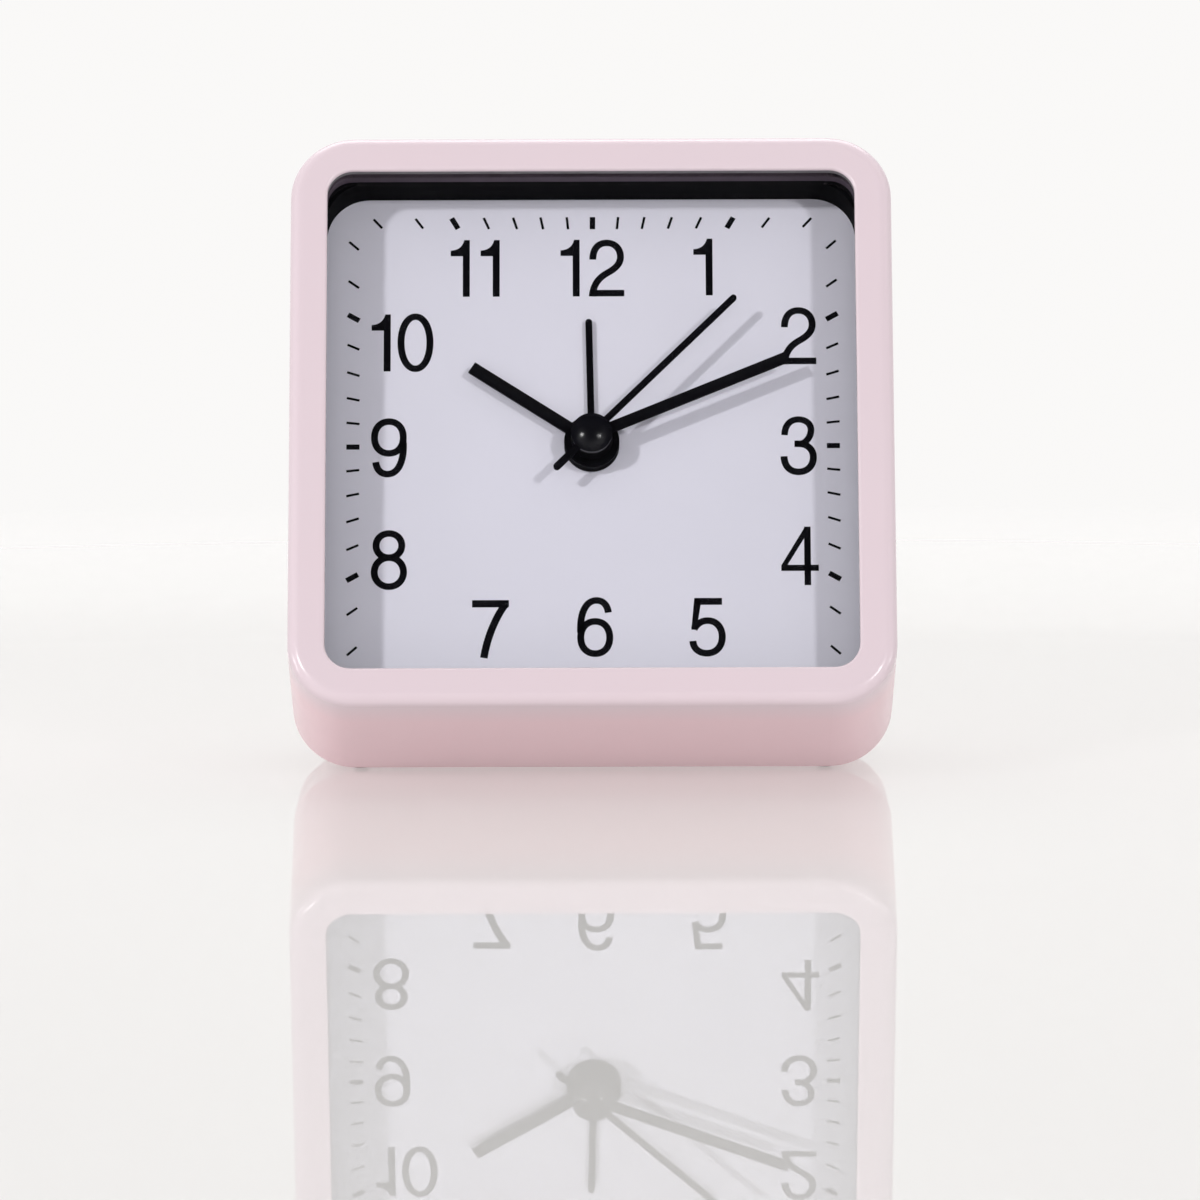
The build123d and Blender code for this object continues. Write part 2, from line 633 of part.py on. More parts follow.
def movement_base():
    tub = block(-BOX_X, BOX_X, BOX_BOTTOM, BOX_TOP, COVER_Z, PLATE_Z)
    tub -= block(
        -BOX_INNER, BOX_INNER, BOX_BOTTOM + BOX_WALL, BOX_TOP - BOX_WALL, COVER_Z - 1, FLOOR_Z
    )
    for at in PILLARS:
        tub += rod(at, PILLAR_R, COVER_Z, FLOOR_Z)
        tub -= rod(at, COVER_SCREW_R, COVER_Z - 1, COVER_Z - COVER / 3 + COVER_SCREW + LAYER_GAP)
    for at in MIDDLE_POSTS:
        tub += rod(at, MIDDLE_POST_R, MIDDLE_Z, FLOOR_Z)
    for at in CORE_POSTS:
        tub += rod(at, CORE_POST_R, CORE_Z, FLOOR_Z)
    ear_z = PLATE_Z - EAR_STAND
    for x, y in EAR_SCREWS:
        side = x / abs(x)
        tub += block(
            side * BOX_INNER, x + side * EAR_END, y - EAR_HALF, y + EAR_HALF, ear_z - FLOOR, ear_z
        )
        tub -= rod((x, y), EAR_SCREW_R + FIT_GAP, ear_z - FLOOR - 1, ear_z + 1)
    tub -= rod(CENTRE, ALARM_PIPE_R + RUN, FLOOR_Z - 1, PLATE_Z + 1)
    for at in KNOB_AXES:
        tub -= rod(at, PIVOT_R + RUN, FLOOR_Z - 1, FLOOR_Z + PIVOT_DEPTH + PIVOT_END)
    return tub


def movement_cover():
    cover = block(-BOX_X, BOX_X, BOX_BOTTOM, BOX_TOP, BOX_BACK, COVER_Z)
    for at in PILLARS:
        cover -= rod(at, COVER_SCREW_R, BOX_BACK - 1, COVER_Z + 1)
        cover -= rod(at, 2 * COVER_SCREW_R, BOX_BACK - 1, COVER_Z - COVER / 3)
    blind = COVER_Z - PIVOT_DEPTH - PIVOT_END
    cover -= bearings(blind, COVER_Z + 1)
    cover -= rod(CENTRE, ARBOR_R + RUN, blind, COVER_Z + 1)
    for at in KNOB_AXES:
        cover -= rod(at, KNOB_ARBOR_R + RUN, BOX_BACK - 1, COVER_Z + 1)
    half_x = STEM_HALF_X + SLIDE_GAP
    half_y = STEM_HALF_Y + SLIDE_GAP
    cover -= block(
        SWITCH_X - half_x, SWITCH_X + half_x, SWITCH_Y - half_y, SWITCH_Y + SWITCH_TRAVEL + half_y,
        BOX_BACK - 1, COVER_Z + 1,
    )
    for i in range(6):
        cover -= rod(polar(SOUND_R, 60 * i, BUZZER_AT), SOUND_HOLE_R, BOX_BACK - 1, COVER_Z + 1)
    half_x = CONTACT / 2 + RUN
    half_y = CONTACT_HALF + RUN
    for x in (CONTACT_X, -CONTACT_X):
        cover -= block(x - half_x, x + half_x, CELL_Y - half_y, CELL_Y + half_y, BOX_BACK - 1, COVER_Z + 1)
    return cover


def middle_plate():
    plate = rod(CENTRE, MIDDLE_R, MIDDLE_BACK, MIDDLE_Z)
    plate += rod(ROTOR_AT, MAGNET_R + MAGNET_GAP, MIDDLE_BACK, MIDDLE_Z)
    plate -= rod(CENTRE, TUBE_R + RUN, MIDDLE_BACK - 1, MIDDLE_Z + 1)
    for at in KNOB_AXES:
        plate -= rod(at, KNOB_ARBOR_R + RUN, MIDDLE_BACK - 1, MIDDLE_Z + 1)
    return plate - bearings(MIDDLE_BACK - 1, MIDDLE_Z + 1)


# Wheels and arbors


def train_arbor(at):
    return rod(at, PIVOT_R, COVER_Z - PIVOT_DEPTH, MIDDLE_Z - PIVOT_END)


def alarm_wheel():
    back = ALARM_WHEEL_Z - WHEEL
    top = ALARM_HAND_Z + ALARM_BOSS
    wheel = gear(CENTRE, ALARM_TEETH, ALARM_MODULE, ALARM_ANGLE, back, ALARM_WHEEL_Z, HOUR_PIPE_R + RUN)
    pipe = rod(CENTRE, ALARM_PIPE_R, back, top)
    return wheel + pipe - rod(CENTRE, HOUR_PIPE_R + RUN, back - 1, top + 1)


def alarm_arbor():
    front = ALARM_WHEEL_Z + PINION_OVER
    back = ALARM_WHEEL_Z - WHEEL - PINION_OVER
    phase = gap_phase(ALARM_ANGLE, ALARM_PINION)
    arbor = gear(ALARM_AT, ALARM_PINION, ALARM_MODULE, phase, back, front, 0)
    arbor += rod(ALARM_AT, KNOB_ARBOR_R, BACK_Z, ALARM_WHEEL_Z)
    return arbor + rod(ALARM_AT, PIVOT_R, back, FLOOR_Z + PIVOT_DEPTH)


def hour_wheel():
    back = HOUR_WHEEL_Z - WHEEL
    top = HOUR_HAND_Z + HOUR_BOSS
    wheel = gear(CENTRE, HOUR_TEETH, HOUR_MODULE, MOTION_ANGLE, back, HOUR_WHEEL_Z, TUBE_R + RUN)
    pipe = rod(CENTRE, HOUR_PIPE_R, back, top)
    return wheel + pipe - rod(CENTRE, TUBE_R + RUN, back - 1, top + 1)


def motion_wheel():
    front = CANNON_Z - PINION_OVER
    back = CANNON_Z - CANNON + PINION_OVER
    phase = gap_phase(MOTION_ANGLE, MOTION_TEETH)
    wheel = gear(MOTION_AT, MOTION_TEETH, CANNON_MODULE, phase, back, front, 0)
    phase = gap_phase(MOTION_ANGLE, MOTION_PINION)
    top = HOUR_WHEEL_Z + PINION_OVER
    wheel += gear(MOTION_AT, MOTION_PINION, HOUR_MODULE, phase, front - PINION_OVER, top, 0)
    wheel += rod(MOTION_AT, KNOB_ARBOR_R, BACK_Z, ALARM_WHEEL_Z)
    return wheel + rod(MOTION_AT, PIVOT_R, back, FLOOR_Z + PIVOT_DEPTH)


def minute_tube():
    back = CLUTCH_BACK - PIVOT_END
    top = MINUTE_HAND_Z + MINUTE_BOSS
    tube = rod(CENTRE, TUBE_R, back, top)
    tube += gear(CENTRE, CANNON_TEETH, CANNON_MODULE, MOTION_ANGLE, CANNON_Z - CANNON, CANNON_Z, 0)
    return tube - rod(CENTRE, ARBOR_R + RUN, back - 1, top + 1)


def centre_wheel():
    return gear(
        CENTRE, CENTRE_TEETH, CENTRE_MODULE, THIRD_ANGLE, CLUTCH_Z, CENTRE_WHEEL_Z, TUBE_R + RUN
    )


def clutch_spring():
    washer = rod(CENTRE, CLUTCH_R, CLUTCH_BACK, CLUTCH_Z)
    washer -= rod(CENTRE, TUBE_R, CLUTCH_BACK - 1, CLUTCH_Z + 1)
    for i in range(3):
        notch = block(TUBE_R + PIPE_WALL, CLUTCH_R + 1, -0.6, 0.6, CLUTCH_BACK - 1, CLUTCH_Z + 1)
        washer -= Rot(0, 0, 120 * i) * notch
    return washer


def third_wheel():
    back = THIRD_WHEEL_Z - TRAIN_WHEEL
    phase = gap_phase(THIRD_ANGLE, THIRD_TEETH)
    wheel = gear(THIRD_AT, THIRD_TEETH, SECONDS_MODULE, phase, back, THIRD_WHEEL_Z, 0)
    phase = gap_phase(THIRD_ANGLE, THIRD_PINION)
    front = CENTRE_WHEEL_Z + PINION_OVER
    wheel += gear(THIRD_AT, THIRD_PINION, CENTRE_MODULE, phase, THIRD_WHEEL_Z - PINION_OVER, front, 0)
    return wheel + train_arbor(THIRD_AT)


def seconds_wheel():
    back = SECONDS_WHEEL_Z - FAST_WHEEL
    wheel = gear(CENTRE, SECONDS_TEETH, DRIVE_MODULE, DRIVE_ANGLE, back, SECONDS_WHEEL_Z, 0)
    front = THIRD_WHEEL_Z + PINION_OVER / 2
    wheel += gear(
        CENTRE, SECONDS_PINION, SECONDS_MODULE, THIRD_ANGLE, SECONDS_WHEEL_Z - PINION_OVER, front, 0
    )
    return wheel + rod(CENTRE, ARBOR_R, COVER_Z - PIVOT_DEPTH, ARBOR_TOP)


def intermediate_wheel():
    back = DRIVE_WHEEL_Z - FAST_WHEEL
    wheel = gear(DRIVE_AT, DRIVE_TEETH, ROTOR_MODULE, ROTOR_ANGLE, back, DRIVE_WHEEL_Z, 0)
    phase = gap_phase(DRIVE_ANGLE, DRIVE_PINION)
    front = SECONDS_WHEEL_Z + PINION_OVER
    wheel += gear(DRIVE_AT, DRIVE_PINION, DRIVE_MODULE, phase, DRIVE_WHEEL_Z - PINION_OVER, front, 0)
    return wheel + train_arbor(DRIVE_AT)


def rotor_pinion():
    front = DRIVE_WHEEL_Z + PINION_OVER
    back = DRIVE_WHEEL_Z - FAST_WHEEL - PINION_OVER
    phase = gap_phase(ROTOR_ANGLE, ROTOR_PINION)
    return gear(ROTOR_AT, ROTOR_PINION, ROTOR_MODULE, phase, back, front, 0) + train_arbor(ROTOR_AT)


def rotor_magnet():
    back = CENTRE_WHEEL_Z - MAGNET
    return rod(ROTOR_AT, MAGNET_R, back, CENTRE_WHEEL_Z) - rod(ROTOR_AT, PIVOT_R, back - 1, MIDDLE_Z)


# Motor and electrics


def stator():
    x, y = ROTOR_AT
    back = STATOR_Z - STATOR
    top = COIL_Y + CORE_WIDTH / 2
    ring = MAGNET_R + MAGNET_GAP + 1.1
    plate = block(CORE_X0, x + ring, y - ring, y + ring, back, STATOR_Z)
    plate += block(CORE_X0, CORE_X0 + STATOR_LEG, y, top, back, STATOR_Z)
    plate += block(x, CORE_X1, y - ring / 2, y + ring / 5, back, STATOR_Z)
    plate += block(CORE_X1 - STATOR_LEG, CORE_X1, y - ring / 2, top, back, STATOR_Z)
    return plate - rod(ROTOR_AT, MAGNET_R + MAGNET_GAP, back - 1, STATOR_Z + 1)


def coil_core():
    half = CORE_WIDTH / 2
    return block(CORE_X0, CORE_X1, COIL_Y - half, COIL_Y + half, STATOR_Z, CORE_Z)


def coil_axis():
    return Pos((CORE_X0 + CORE_X1) / 2, COIL_Y, STATOR_Z + CORE / 2) * Rot(0, 90, 0)


def bobbin_length():
    return CORE_LENGTH - 2 * (STATOR_LEG + COIL_GAP)


def coil_bobbin():
    bobbin = coil_axis() * Cylinder(BOBBIN_R, bobbin_length())
    shift = (bobbin_length() - BOBBIN_FLANGE) / 2
    for x in (-shift, shift):
        bobbin += Pos(x, 0, 0) * (coil_axis() * Cylinder(FLANGE_R, BOBBIN_FLANGE))
    return bobbin - coil_core()


def motor_coil():
    length = bobbin_length() - 2 * BOBBIN_FLANGE
    return coil_axis() * Cylinder(COIL_R, length) - coil_axis() * Cylinder(BOBBIN_R, length + 1)


def circuit_board():
    half = BOX_INNER - SLIDE_GAP
    board = block(-half, half, BOARD_Y, BOX_TOP - BOX_WALL - SLIDE_GAP, BOARD_Z, FLOOR_Z)
    board -= block(-WINDOW_X, WINDOW_X, WINDOW_Y, BOX_TOP, BOARD_Z - 1, FLOOR_Z + 1)
    for at in PILLARS:
        board -= rod(at, PILLAR_R + FIT_GAP, BOARD_Z - 1, FLOOR_Z + 1)
    return board


def chip_cover():
    ball = Pos(CHIP_X, CHIP_Y, BOARD_Z - CHIP + CHIP_R) * Sphere(CHIP_R)
    return ball & block(
        CHIP_X - CHIP_R, CHIP_X + CHIP_R, CHIP_Y - CHIP_R, CHIP_Y + CHIP_R, BOARD_Z - CHIP_R, BOARD_Z
    )


def quartz_crystal():
    x = -CHIP_X
    mid = BOARD_Z - CRYSTAL_R
    can = Pos(x, CHIP_Y, mid) * (Rot(0, 90, 0) * Cylinder(CRYSTAL_R, CRYSTAL))
    end = x + CRYSTAL / 2
    for y in (CHIP_Y - CRYSTAL_R / 2, CHIP_Y + CRYSTAL_R / 2):
        can += block(end - 0.1, end + 1.6, y - 0.15, y + 0.15, mid - 0.15, mid + 0.15)
        can += block(end + 1.3, end + 1.6, y - 0.15, y + 0.15, mid - 0.15, BOARD_Z)
    return can


def buzzer():
    can = rod(BUZZER_AT, BUZZER_R, COVER_Z + BOX_GAP, BOARD_Z)
    return can - rod(BUZZER_AT, BUZZER_HOLE_R, COVER_Z, COVER_Z + BOX_GAP + BUZZER_HOLE)


def switch_contact():
    """Bent leaf on the board beside the switch stem."""
    x = SWITCH_X - STEM_HALF_X - SWITCH_LEAF_GAP
    low = SWITCH_Y - STEM_HALF_Y
    high = SWITCH_Y + SWITCH_TRAVEL + STEM_HALF_Y
    foot = BOARD_Z - CONTACT
    leaf = block(x - CONTACT, x, low, high, COVER_Z + COVER_GAP, foot)
    return leaf + block(x - SWITCH_LEAF_FOOT, x, low, high, foot, BOARD_Z)


def alarm_trip_leaf():
    """Leaf that the hour wheel lets go when it meets the notch of the alarm wheel."""
    half = LEAF_HALF
    end = WINDOW_Y - LEAF_REACH
    leaf = block(-half, half, end, WINDOW_Y + LEAF_REACH, CANNON_Z - LEAF, CANNON_Z)
    leaf += block(-half, half, end - LEAF, end, CANNON_Z - LEAF, BOARD_Z)
    return leaf + block(-half, half, end, WINDOW_Y - LEAF_HALF, BOARD_Z - LEAF, BOARD_Z)


def battery():
    end = POCKET_X - CONTACT - CELL_NUB
    cell = Pos(end - CELL_LENGTH / 2, CELL_Y, CELL_Z) * (Rot(0, 90, 0) * Cylinder(CELL_R, CELL_LENGTH))
    cell = fillet(cell.edges(), 0.5)
    nub = Rot(0, 90, 0) * Cylinder(CELL_NUB_R, CELL_NUB)
    return cell + Pos(end + CELL_NUB / 2, CELL_Y, CELL_Z) * nub


def contact_tail(side):
    """Strip from the end of the pocket to the board, through the pocket floor and the cover."""
    inner = POCKET_X - CONTACT
    half = CONTACT_HALF
    low = min(CONTACT_X - CONTACT / 2, inner)
    high = max(CONTACT_X + CONTACT / 2, POCKET_X)
    tail = block(inner, POCKET_X, -half, half, POCKET_Z - 1, BOX_BACK)
    tail += block(low, high, -half, half, BOX_BACK - CONTACT, BOX_BACK)
    tail += block(
        CONTACT_X - CONTACT / 2, CONTACT_X + CONTACT / 2, -half, half, BOX_BACK - CONTACT, BOARD_Z
    )
    tail += block(inner, POCKET_X, -4.5, 4.5, CELL_Z - 5, POCKET_Z)
    tail = Pos(0, CELL_Y, 0) * tail
    return tail if side > 0 else mirror(tail, Plane.YZ)


def positive_contact():
    return contact_tail(1)


def negative_contact():
    inner = POCKET_X - CONTACT
    start = inner - CELL_NUB - CELL_LENGTH
    leaf = Polyline(
        (-inner, CELL_Z - 4.5),
        (start - CONTACT, CELL_Z - 0.6),
        (start - CONTACT, CELL_Z + 0.6),
        (-inner + 1.2, CELL_Z + 3.6),
        (-inner + 1.5, CELL_Z + 3.6),
        (start, CELL_Z + 0.6),
        (start, CELL_Z - 0.6),
        (-inner, CELL_Z - 5.0),
        close=True,
    )
    face = make_face(Plane.XZ * leaf)
    return contact_tail(-1) + Pos(0, CELL_Y + CONTACT_HALF, 0) * extrude(face, 2 * CONTACT_HALF)


# Controls


def knob(at):
    body = rod(at, KNOB_R, KNOB_BACK, WELL_Z - SLIDE_GAP)
    body = chamfer(body.edges().group_by(Axis.Z)[0], KNOB_CHAMFER)
    for i in range(20):
        body -= rod(polar(KNOB_R + RUN, 18 * i, at), KNOB_FLUTE_R, KNOB_BACK - 1, WELL_Z - KNOB_FLANGE)
    body -= rod(at, KNOB_DISH_R, KNOB_BACK - 1, KNOB_BACK + KNOB_DISH)
    return body - rod(at, KNOB_ARBOR_R, BACK_Z, WELL_Z + 1)


def time_knob():
    return knob(MOTION_AT)


def alarm_knob():
    return knob(ALARM_AT)


def switch_slider():
    x, y = SWITCH_X, SWITCH_Y
    plate_x = NUB_HALF_X + SLIDER_RIM_X
    plate_y = NUB_HALF_Y + SLIDER_RIM_Y
    back = BACK_Z - SWITCH_PROUD
    front = SLIDER_Z + SWITCH_PLATE
    slider = block(x - NUB_HALF_X, x + NUB_HALF_X, y - NUB_HALF_Y, y + NUB_HALF_Y, back, SLIDER_Z)
    slider += block(x - plate_x, x + plate_x, y - plate_y, y + plate_y, SLIDER_Z, front)
    slider += block(
        x - STEM_HALF_X, x + STEM_HALF_X, y - STEM_HALF_Y, y + STEM_HALF_Y, SLIDER_Z, MIDDLE_Z
    )
    for i in (-1, 0, 1):
        rib = y + GRIP_PITCH * i
        slider -= block(x - plate_x, x + plate_x, rib - GRIP, rib + GRIP, back - 1, back + GRIP)
    return slider


# Hands


def hand(length, width, z0, step, boss, height, bore):
    """A hand that points at twelve, with a square tip."""
    blade = block(-width / 2, width / 2, 0, length, z0 + step, z0 + step + BLADE)
    return blade + rod(CENTRE, boss, z0, z0 + height) - rod(CENTRE, bore, -5, z0 + height + 1)


def round_hand(length, width, z0, step, boss, height, bore):
    """A hand that points at twelve, with a half circle for its tip."""
    straight = length - width / 2
    piece = hand(straight, width, z0, step, boss, height, bore)
    return piece + rod((0, straight), width / 2, z0 + step, z0 + step + BLADE)


def alarm_hand():
    piece = round_hand(
        ALARM_LENGTH, ALARM_WIDTH, ALARM_HAND_Z, BLADE_STEP, BOSS_R, ALARM_BOSS, ALARM_PIPE_R
    )
    return Rot(0, 0, -ALARM_REST) * piece


def hour_hand():
    piece = hand(HOUR_LENGTH, HOUR_WIDTH, HOUR_HAND_Z, BLADE_STEP, BOSS_R, HOUR_BOSS, HOUR_PIPE_R)
    return Rot(0, 0, -HOUR_REST) * piece


def minute_hand():
    piece = hand(
        MINUTE_LENGTH, MINUTE_WIDTH, MINUTE_HAND_Z, MINUTE_STEP, MINUTE_BOSS_R, MINUTE_BOSS, TUBE_R
    )
    return Rot(0, 0, -MINUTE_REST) * piece


def second_hand():
    low = SECOND_HAND_Z + SECOND_STEP
    piece = round_hand(
        SECOND_LENGTH, SECOND_WIDTH, SECOND_HAND_Z, SECOND_STEP, SECOND_BOSS_R, SECOND_BOSS, ARBOR_R
    )
    end = -TAIL_LENGTH + TAIL_WIDTH / 2
    piece += block(-TAIL_WIDTH / 2, TAIL_WIDTH / 2, end, -2 * ARBOR_R, low, low + BLADE)
    piece += rod((0, end), TAIL_WIDTH / 2, low, low + BLADE)
    return Rot(0, 0, -SECOND_REST) * piece


def hub_cap():
    """A low dome on a short skirt, with a slot that lets it down over the second hand and its boss."""
    half = TAIL_WIDTH / 2 + RUN
    reach = 2 * CAP_R
    curve = (CAP_R**2 + CAP_RISE**2) / (2 * CAP_RISE)
    top = CAP_Z + CAP_RISE
    cap = rod(CENTRE, CAP_R, SECOND_HAND_Z, top) & Pos(0, 0, top - curve) * Sphere(curve)
    slot = block(-half, half, -reach, reach, 0, SECOND_HAND_Z + SECOND_STEP + BLADE + RUN)
    cap -= Rot(0, 0, -SECOND_REST) * slot
    cap -= rod(CENTRE, SECOND_BOSS_R, 0, SECOND_TOP)
    return cap - rod(CENTRE, ARBOR_R, 0, ARBOR_TOP)


def stand_frame():
    """Tilts the clock back, stands its feet at z = 0 and centres its depth on y = 0."""
    front = -(HALF - FRONT_EDGE_R) * SIN - (FRONT_Z - FRONT_EDGE_R) * COS - FRONT_EDGE_R
    back = (HALF - BACK_EDGE_R) * SIN - (BACK_Z + BACK_EDGE_R) * COS + BACK_EDGE_R
    height = HALF * COS - SEAM_Z * SIN + FOOT_HEIGHT
    return Plane(
        origin=(0, -(front + back) / 2, height), x_dir=(1, 0, 0), z_dir=(0, -COS, SIN)
    ).location


PIECES = [
    front_case, rear_housing, feet, battery_door, lens_gasket, lens, dial_surround, dial,
    movement_carrier, case_screws, movement_screws, cover_screws, movement_base, movement_cover,
    middle_plate, alarm_wheel, alarm_arbor, hour_wheel, motion_wheel, minute_tube, centre_wheel,
    clutch_spring, third_wheel, seconds_wheel, intermediate_wheel, rotor_pinion, rotor_magnet, stator,
    coil_core, coil_bobbin, motor_coil, circuit_board, chip_cover, quartz_crystal, buzzer,
    switch_contact, alarm_trip_leaf, battery, positive_contact, negative_contact, time_knob,
    alarm_knob, switch_slider, alarm_hand, hour_hand, minute_hand, second_hand, hub_cap,
]

os.makedirs("parts", exist_ok=True)
STAND = stand_frame()
for piece in PIECES:
    export_step(STAND * piece(), f"parts/{piece.__name__}.step")
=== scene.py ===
import json
import math

import bmesh
import bpy
from mathutils import Matrix, Vector


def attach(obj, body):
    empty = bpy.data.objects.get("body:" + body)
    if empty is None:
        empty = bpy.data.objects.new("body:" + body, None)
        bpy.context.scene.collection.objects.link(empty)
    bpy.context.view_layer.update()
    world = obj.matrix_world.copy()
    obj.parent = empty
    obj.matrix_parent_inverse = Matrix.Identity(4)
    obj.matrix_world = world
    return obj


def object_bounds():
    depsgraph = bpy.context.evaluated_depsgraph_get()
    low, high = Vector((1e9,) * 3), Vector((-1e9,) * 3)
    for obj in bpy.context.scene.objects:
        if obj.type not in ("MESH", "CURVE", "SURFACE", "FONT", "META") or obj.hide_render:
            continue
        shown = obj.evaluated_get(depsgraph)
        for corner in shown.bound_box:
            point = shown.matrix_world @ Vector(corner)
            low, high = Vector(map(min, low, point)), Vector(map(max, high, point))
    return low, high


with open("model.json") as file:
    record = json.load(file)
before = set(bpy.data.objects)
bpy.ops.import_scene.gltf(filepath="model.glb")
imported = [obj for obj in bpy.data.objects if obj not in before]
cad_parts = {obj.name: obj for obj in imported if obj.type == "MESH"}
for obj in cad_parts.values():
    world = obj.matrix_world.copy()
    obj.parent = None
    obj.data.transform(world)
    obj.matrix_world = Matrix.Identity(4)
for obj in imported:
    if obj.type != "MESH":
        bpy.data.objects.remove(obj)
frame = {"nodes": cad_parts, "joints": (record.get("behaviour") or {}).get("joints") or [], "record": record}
packed_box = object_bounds()
nodes = frame["nodes"]

# The clock's own axes: x to the right, y up the face, z out of the dial. The face leans back.
# The second hand turns about z, and its joint sits in the middle of the dial.
second_hand_turn = next(joint for joint in frame["joints"] if joint["name"] == "second_hand_turn")
DIAL_CENTRE = Vector(second_hand_turn["pos_m"])
ACROSS = Vector((1.0, 0.0, 0.0))
OUT = -Vector(second_hand_turn["axis"])
UP_FACE = OUT.cross(ACROSS)
MM = 0.001


def on_clock(x, y, z):
    """A point given in the clock's own millimetres, in the shared frame."""
    return DIAL_CENTRE + (ACROSS * x + UP_FACE * y + OUT * z) * MM


def add_node(tree, kind, **values):
    """A new node with its named inputs set."""
    node = tree.nodes.new(kind)
    for name, value in values.items():
        node.inputs[name.replace("_", " ")].default_value = value
    return node


def blank_material(name):
    """A new material, its node tree and its shader."""
    material = bpy.data.materials.new(name)
    material.use_nodes = True
    return material, material.node_tree, material.node_tree.nodes["Principled BSDF"]


def two_tone(tree, driver, first, second, start, end):
    """A colour that runs from the first tone to the second as the driver goes from start to end."""
    ramp = tree.nodes.new("ShaderNodeValToRGB")
    ramp.color_ramp.elements[0].position = start
    ramp.color_ramp.elements[0].color = (*first, 1.0)
    ramp.color_ramp.elements[1].position = end
    ramp.color_ramp.elements[1].color = (*second, 1.0)
    tree.links.new(driver, ramp.inputs["Fac"])
    return ramp.outputs["Color"]


def spread(tree, driver, low, high, start=0.3, end=0.7):
    """A value that runs from low to high as the driver goes from start to end."""
    span = tree.nodes.new("ShaderNodeMapRange")
    span.inputs["From Min"].default_value = start
    span.inputs["From Max"].default_value = end
    span.inputs["To Min"].default_value = low
    span.inputs["To Max"].default_value = high
    tree.links.new(driver, span.inputs["Value"])
    return span.outputs["Result"]


def noise(tree, scale, detail=3.0, stretch=(1.0, 1.0, 1.0)):
    """Cloudy noise that stays with the object."""
    place = tree.nodes.new("ShaderNodeTexCoord")
    size = tree.nodes.new("ShaderNodeMapping")
    size.inputs["Scale"].default_value = stretch
    cloud = add_node(tree, "ShaderNodeTexNoise", Scale=scale, Detail=detail)
    tree.links.new(place.outputs["Object"], size.inputs["Vector"])
    tree.links.new(size.outputs["Vector"], cloud.inputs["Vector"])
    return cloud.outputs["Fac"]


def relief(tree, shader, height, depth, strength):
    """Fine bumps on a surface, from a height."""
    bump = add_node(tree, "ShaderNodeBump", Distance=depth, Strength=strength)
    tree.links.new(height, bump.inputs["Height"])
    tree.links.new(bump.outputs["Normal"], shader.inputs["Normal"])


# Depths of surface relief, in metres.
GRAIN_DEPTH = 0.00002
FINE_DEPTH = 0.00001
WIRE_DEPTH = 0.00006
# Scales of surface noise, per metre.
DRIFT_SCALE = 55.0
SHEEN_SCALE = 260.0
GRAIN_SCALE = 9000.0
STREAK_SCALE = 900.0
CLOUD_SCALE = 140.0

PLASTIC_IOR = 1.49


def moulded(name, first, second, rough, grain=GRAIN_SCALE, strength=0.25, **sockets):
    """A moulded or painted surface: slow tone drift, uneven sheen and a fine grain."""
    material, tree, shader = blank_material(name)
    drift = noise(tree, DRIFT_SCALE, 2.0)
    sheen = noise(tree, SHEEN_SCALE, 4.0)
    tree.links.new(two_tone(tree, drift, first, second, 0.35, 0.65), shader.inputs["Base Color"])
    tree.links.new(spread(tree, sheen, rough[0], rough[1]), shader.inputs["Roughness"])
    relief(tree, shader, noise(tree, grain, 2.0), GRAIN_DEPTH, strength)
    for socket, value in sockets.items():
        shader.inputs[socket.replace("_", " ")].default_value = value
    return material


def metal(name, first, second, rough, stretch=(1.0, 1.0, 1.0)):
    """Bare or plated metal with drawn streaks in its sheen and relief."""
    material, tree, shader = blank_material(name)
    streak = noise(tree, STREAK_SCALE, 5.0, stretch)
    cloud = noise(tree, CLOUD_SCALE, 3.0)
    tree.links.new(two_tone(tree, cloud, first, second, 0.35, 0.65), shader.inputs["Base Color"])
    tree.links.new(spread(tree, streak, rough[0], rough[1]), shader.inputs["Roughness"])
    relief(tree, shader, streak, FINE_DEPTH, 0.2)
    shader.inputs["Metallic"].default_value = 1.0
    return material


def clock_depth(tree):
    """Height above the dial, in millimetres, as a node value."""
    place = tree.nodes.new("ShaderNodeTexCoord")
    shift = tree.nodes.new("ShaderNodeVectorMath")
    shift.operation = "SUBTRACT"
    shift.inputs[1].default_value = DIAL_CENTRE
    along = tree.nodes.new("ShaderNodeVectorMath")
    along.operation = "DOT_PRODUCT"
    along.inputs[1].default_value = OUT / MM
    tree.links.new(place.outputs["Object"], shift.inputs[0])
    tree.links.new(shift.outputs["Vector"], along.inputs[0])
    return along.outputs["Value"]


CASE_FRONT = (0.770, 0.642, 0.695)
# Painted shade: a deeper, more saturated pink for the walls behind the front, standing in for their shaded,
# pink-lit look.
CASE_SHADE_PINK = (0.880, 0.632, 0.682)
# How far the cloudy drift moves the case's tone.
CASE_DRIFT = 0.12
# Heights above the dial, in millimetres, between which the painted shade on the case's walls gives way to
# its front tone.
CASE_SHADE_FULL = 3.0
CASE_FRONT_START = 10.0


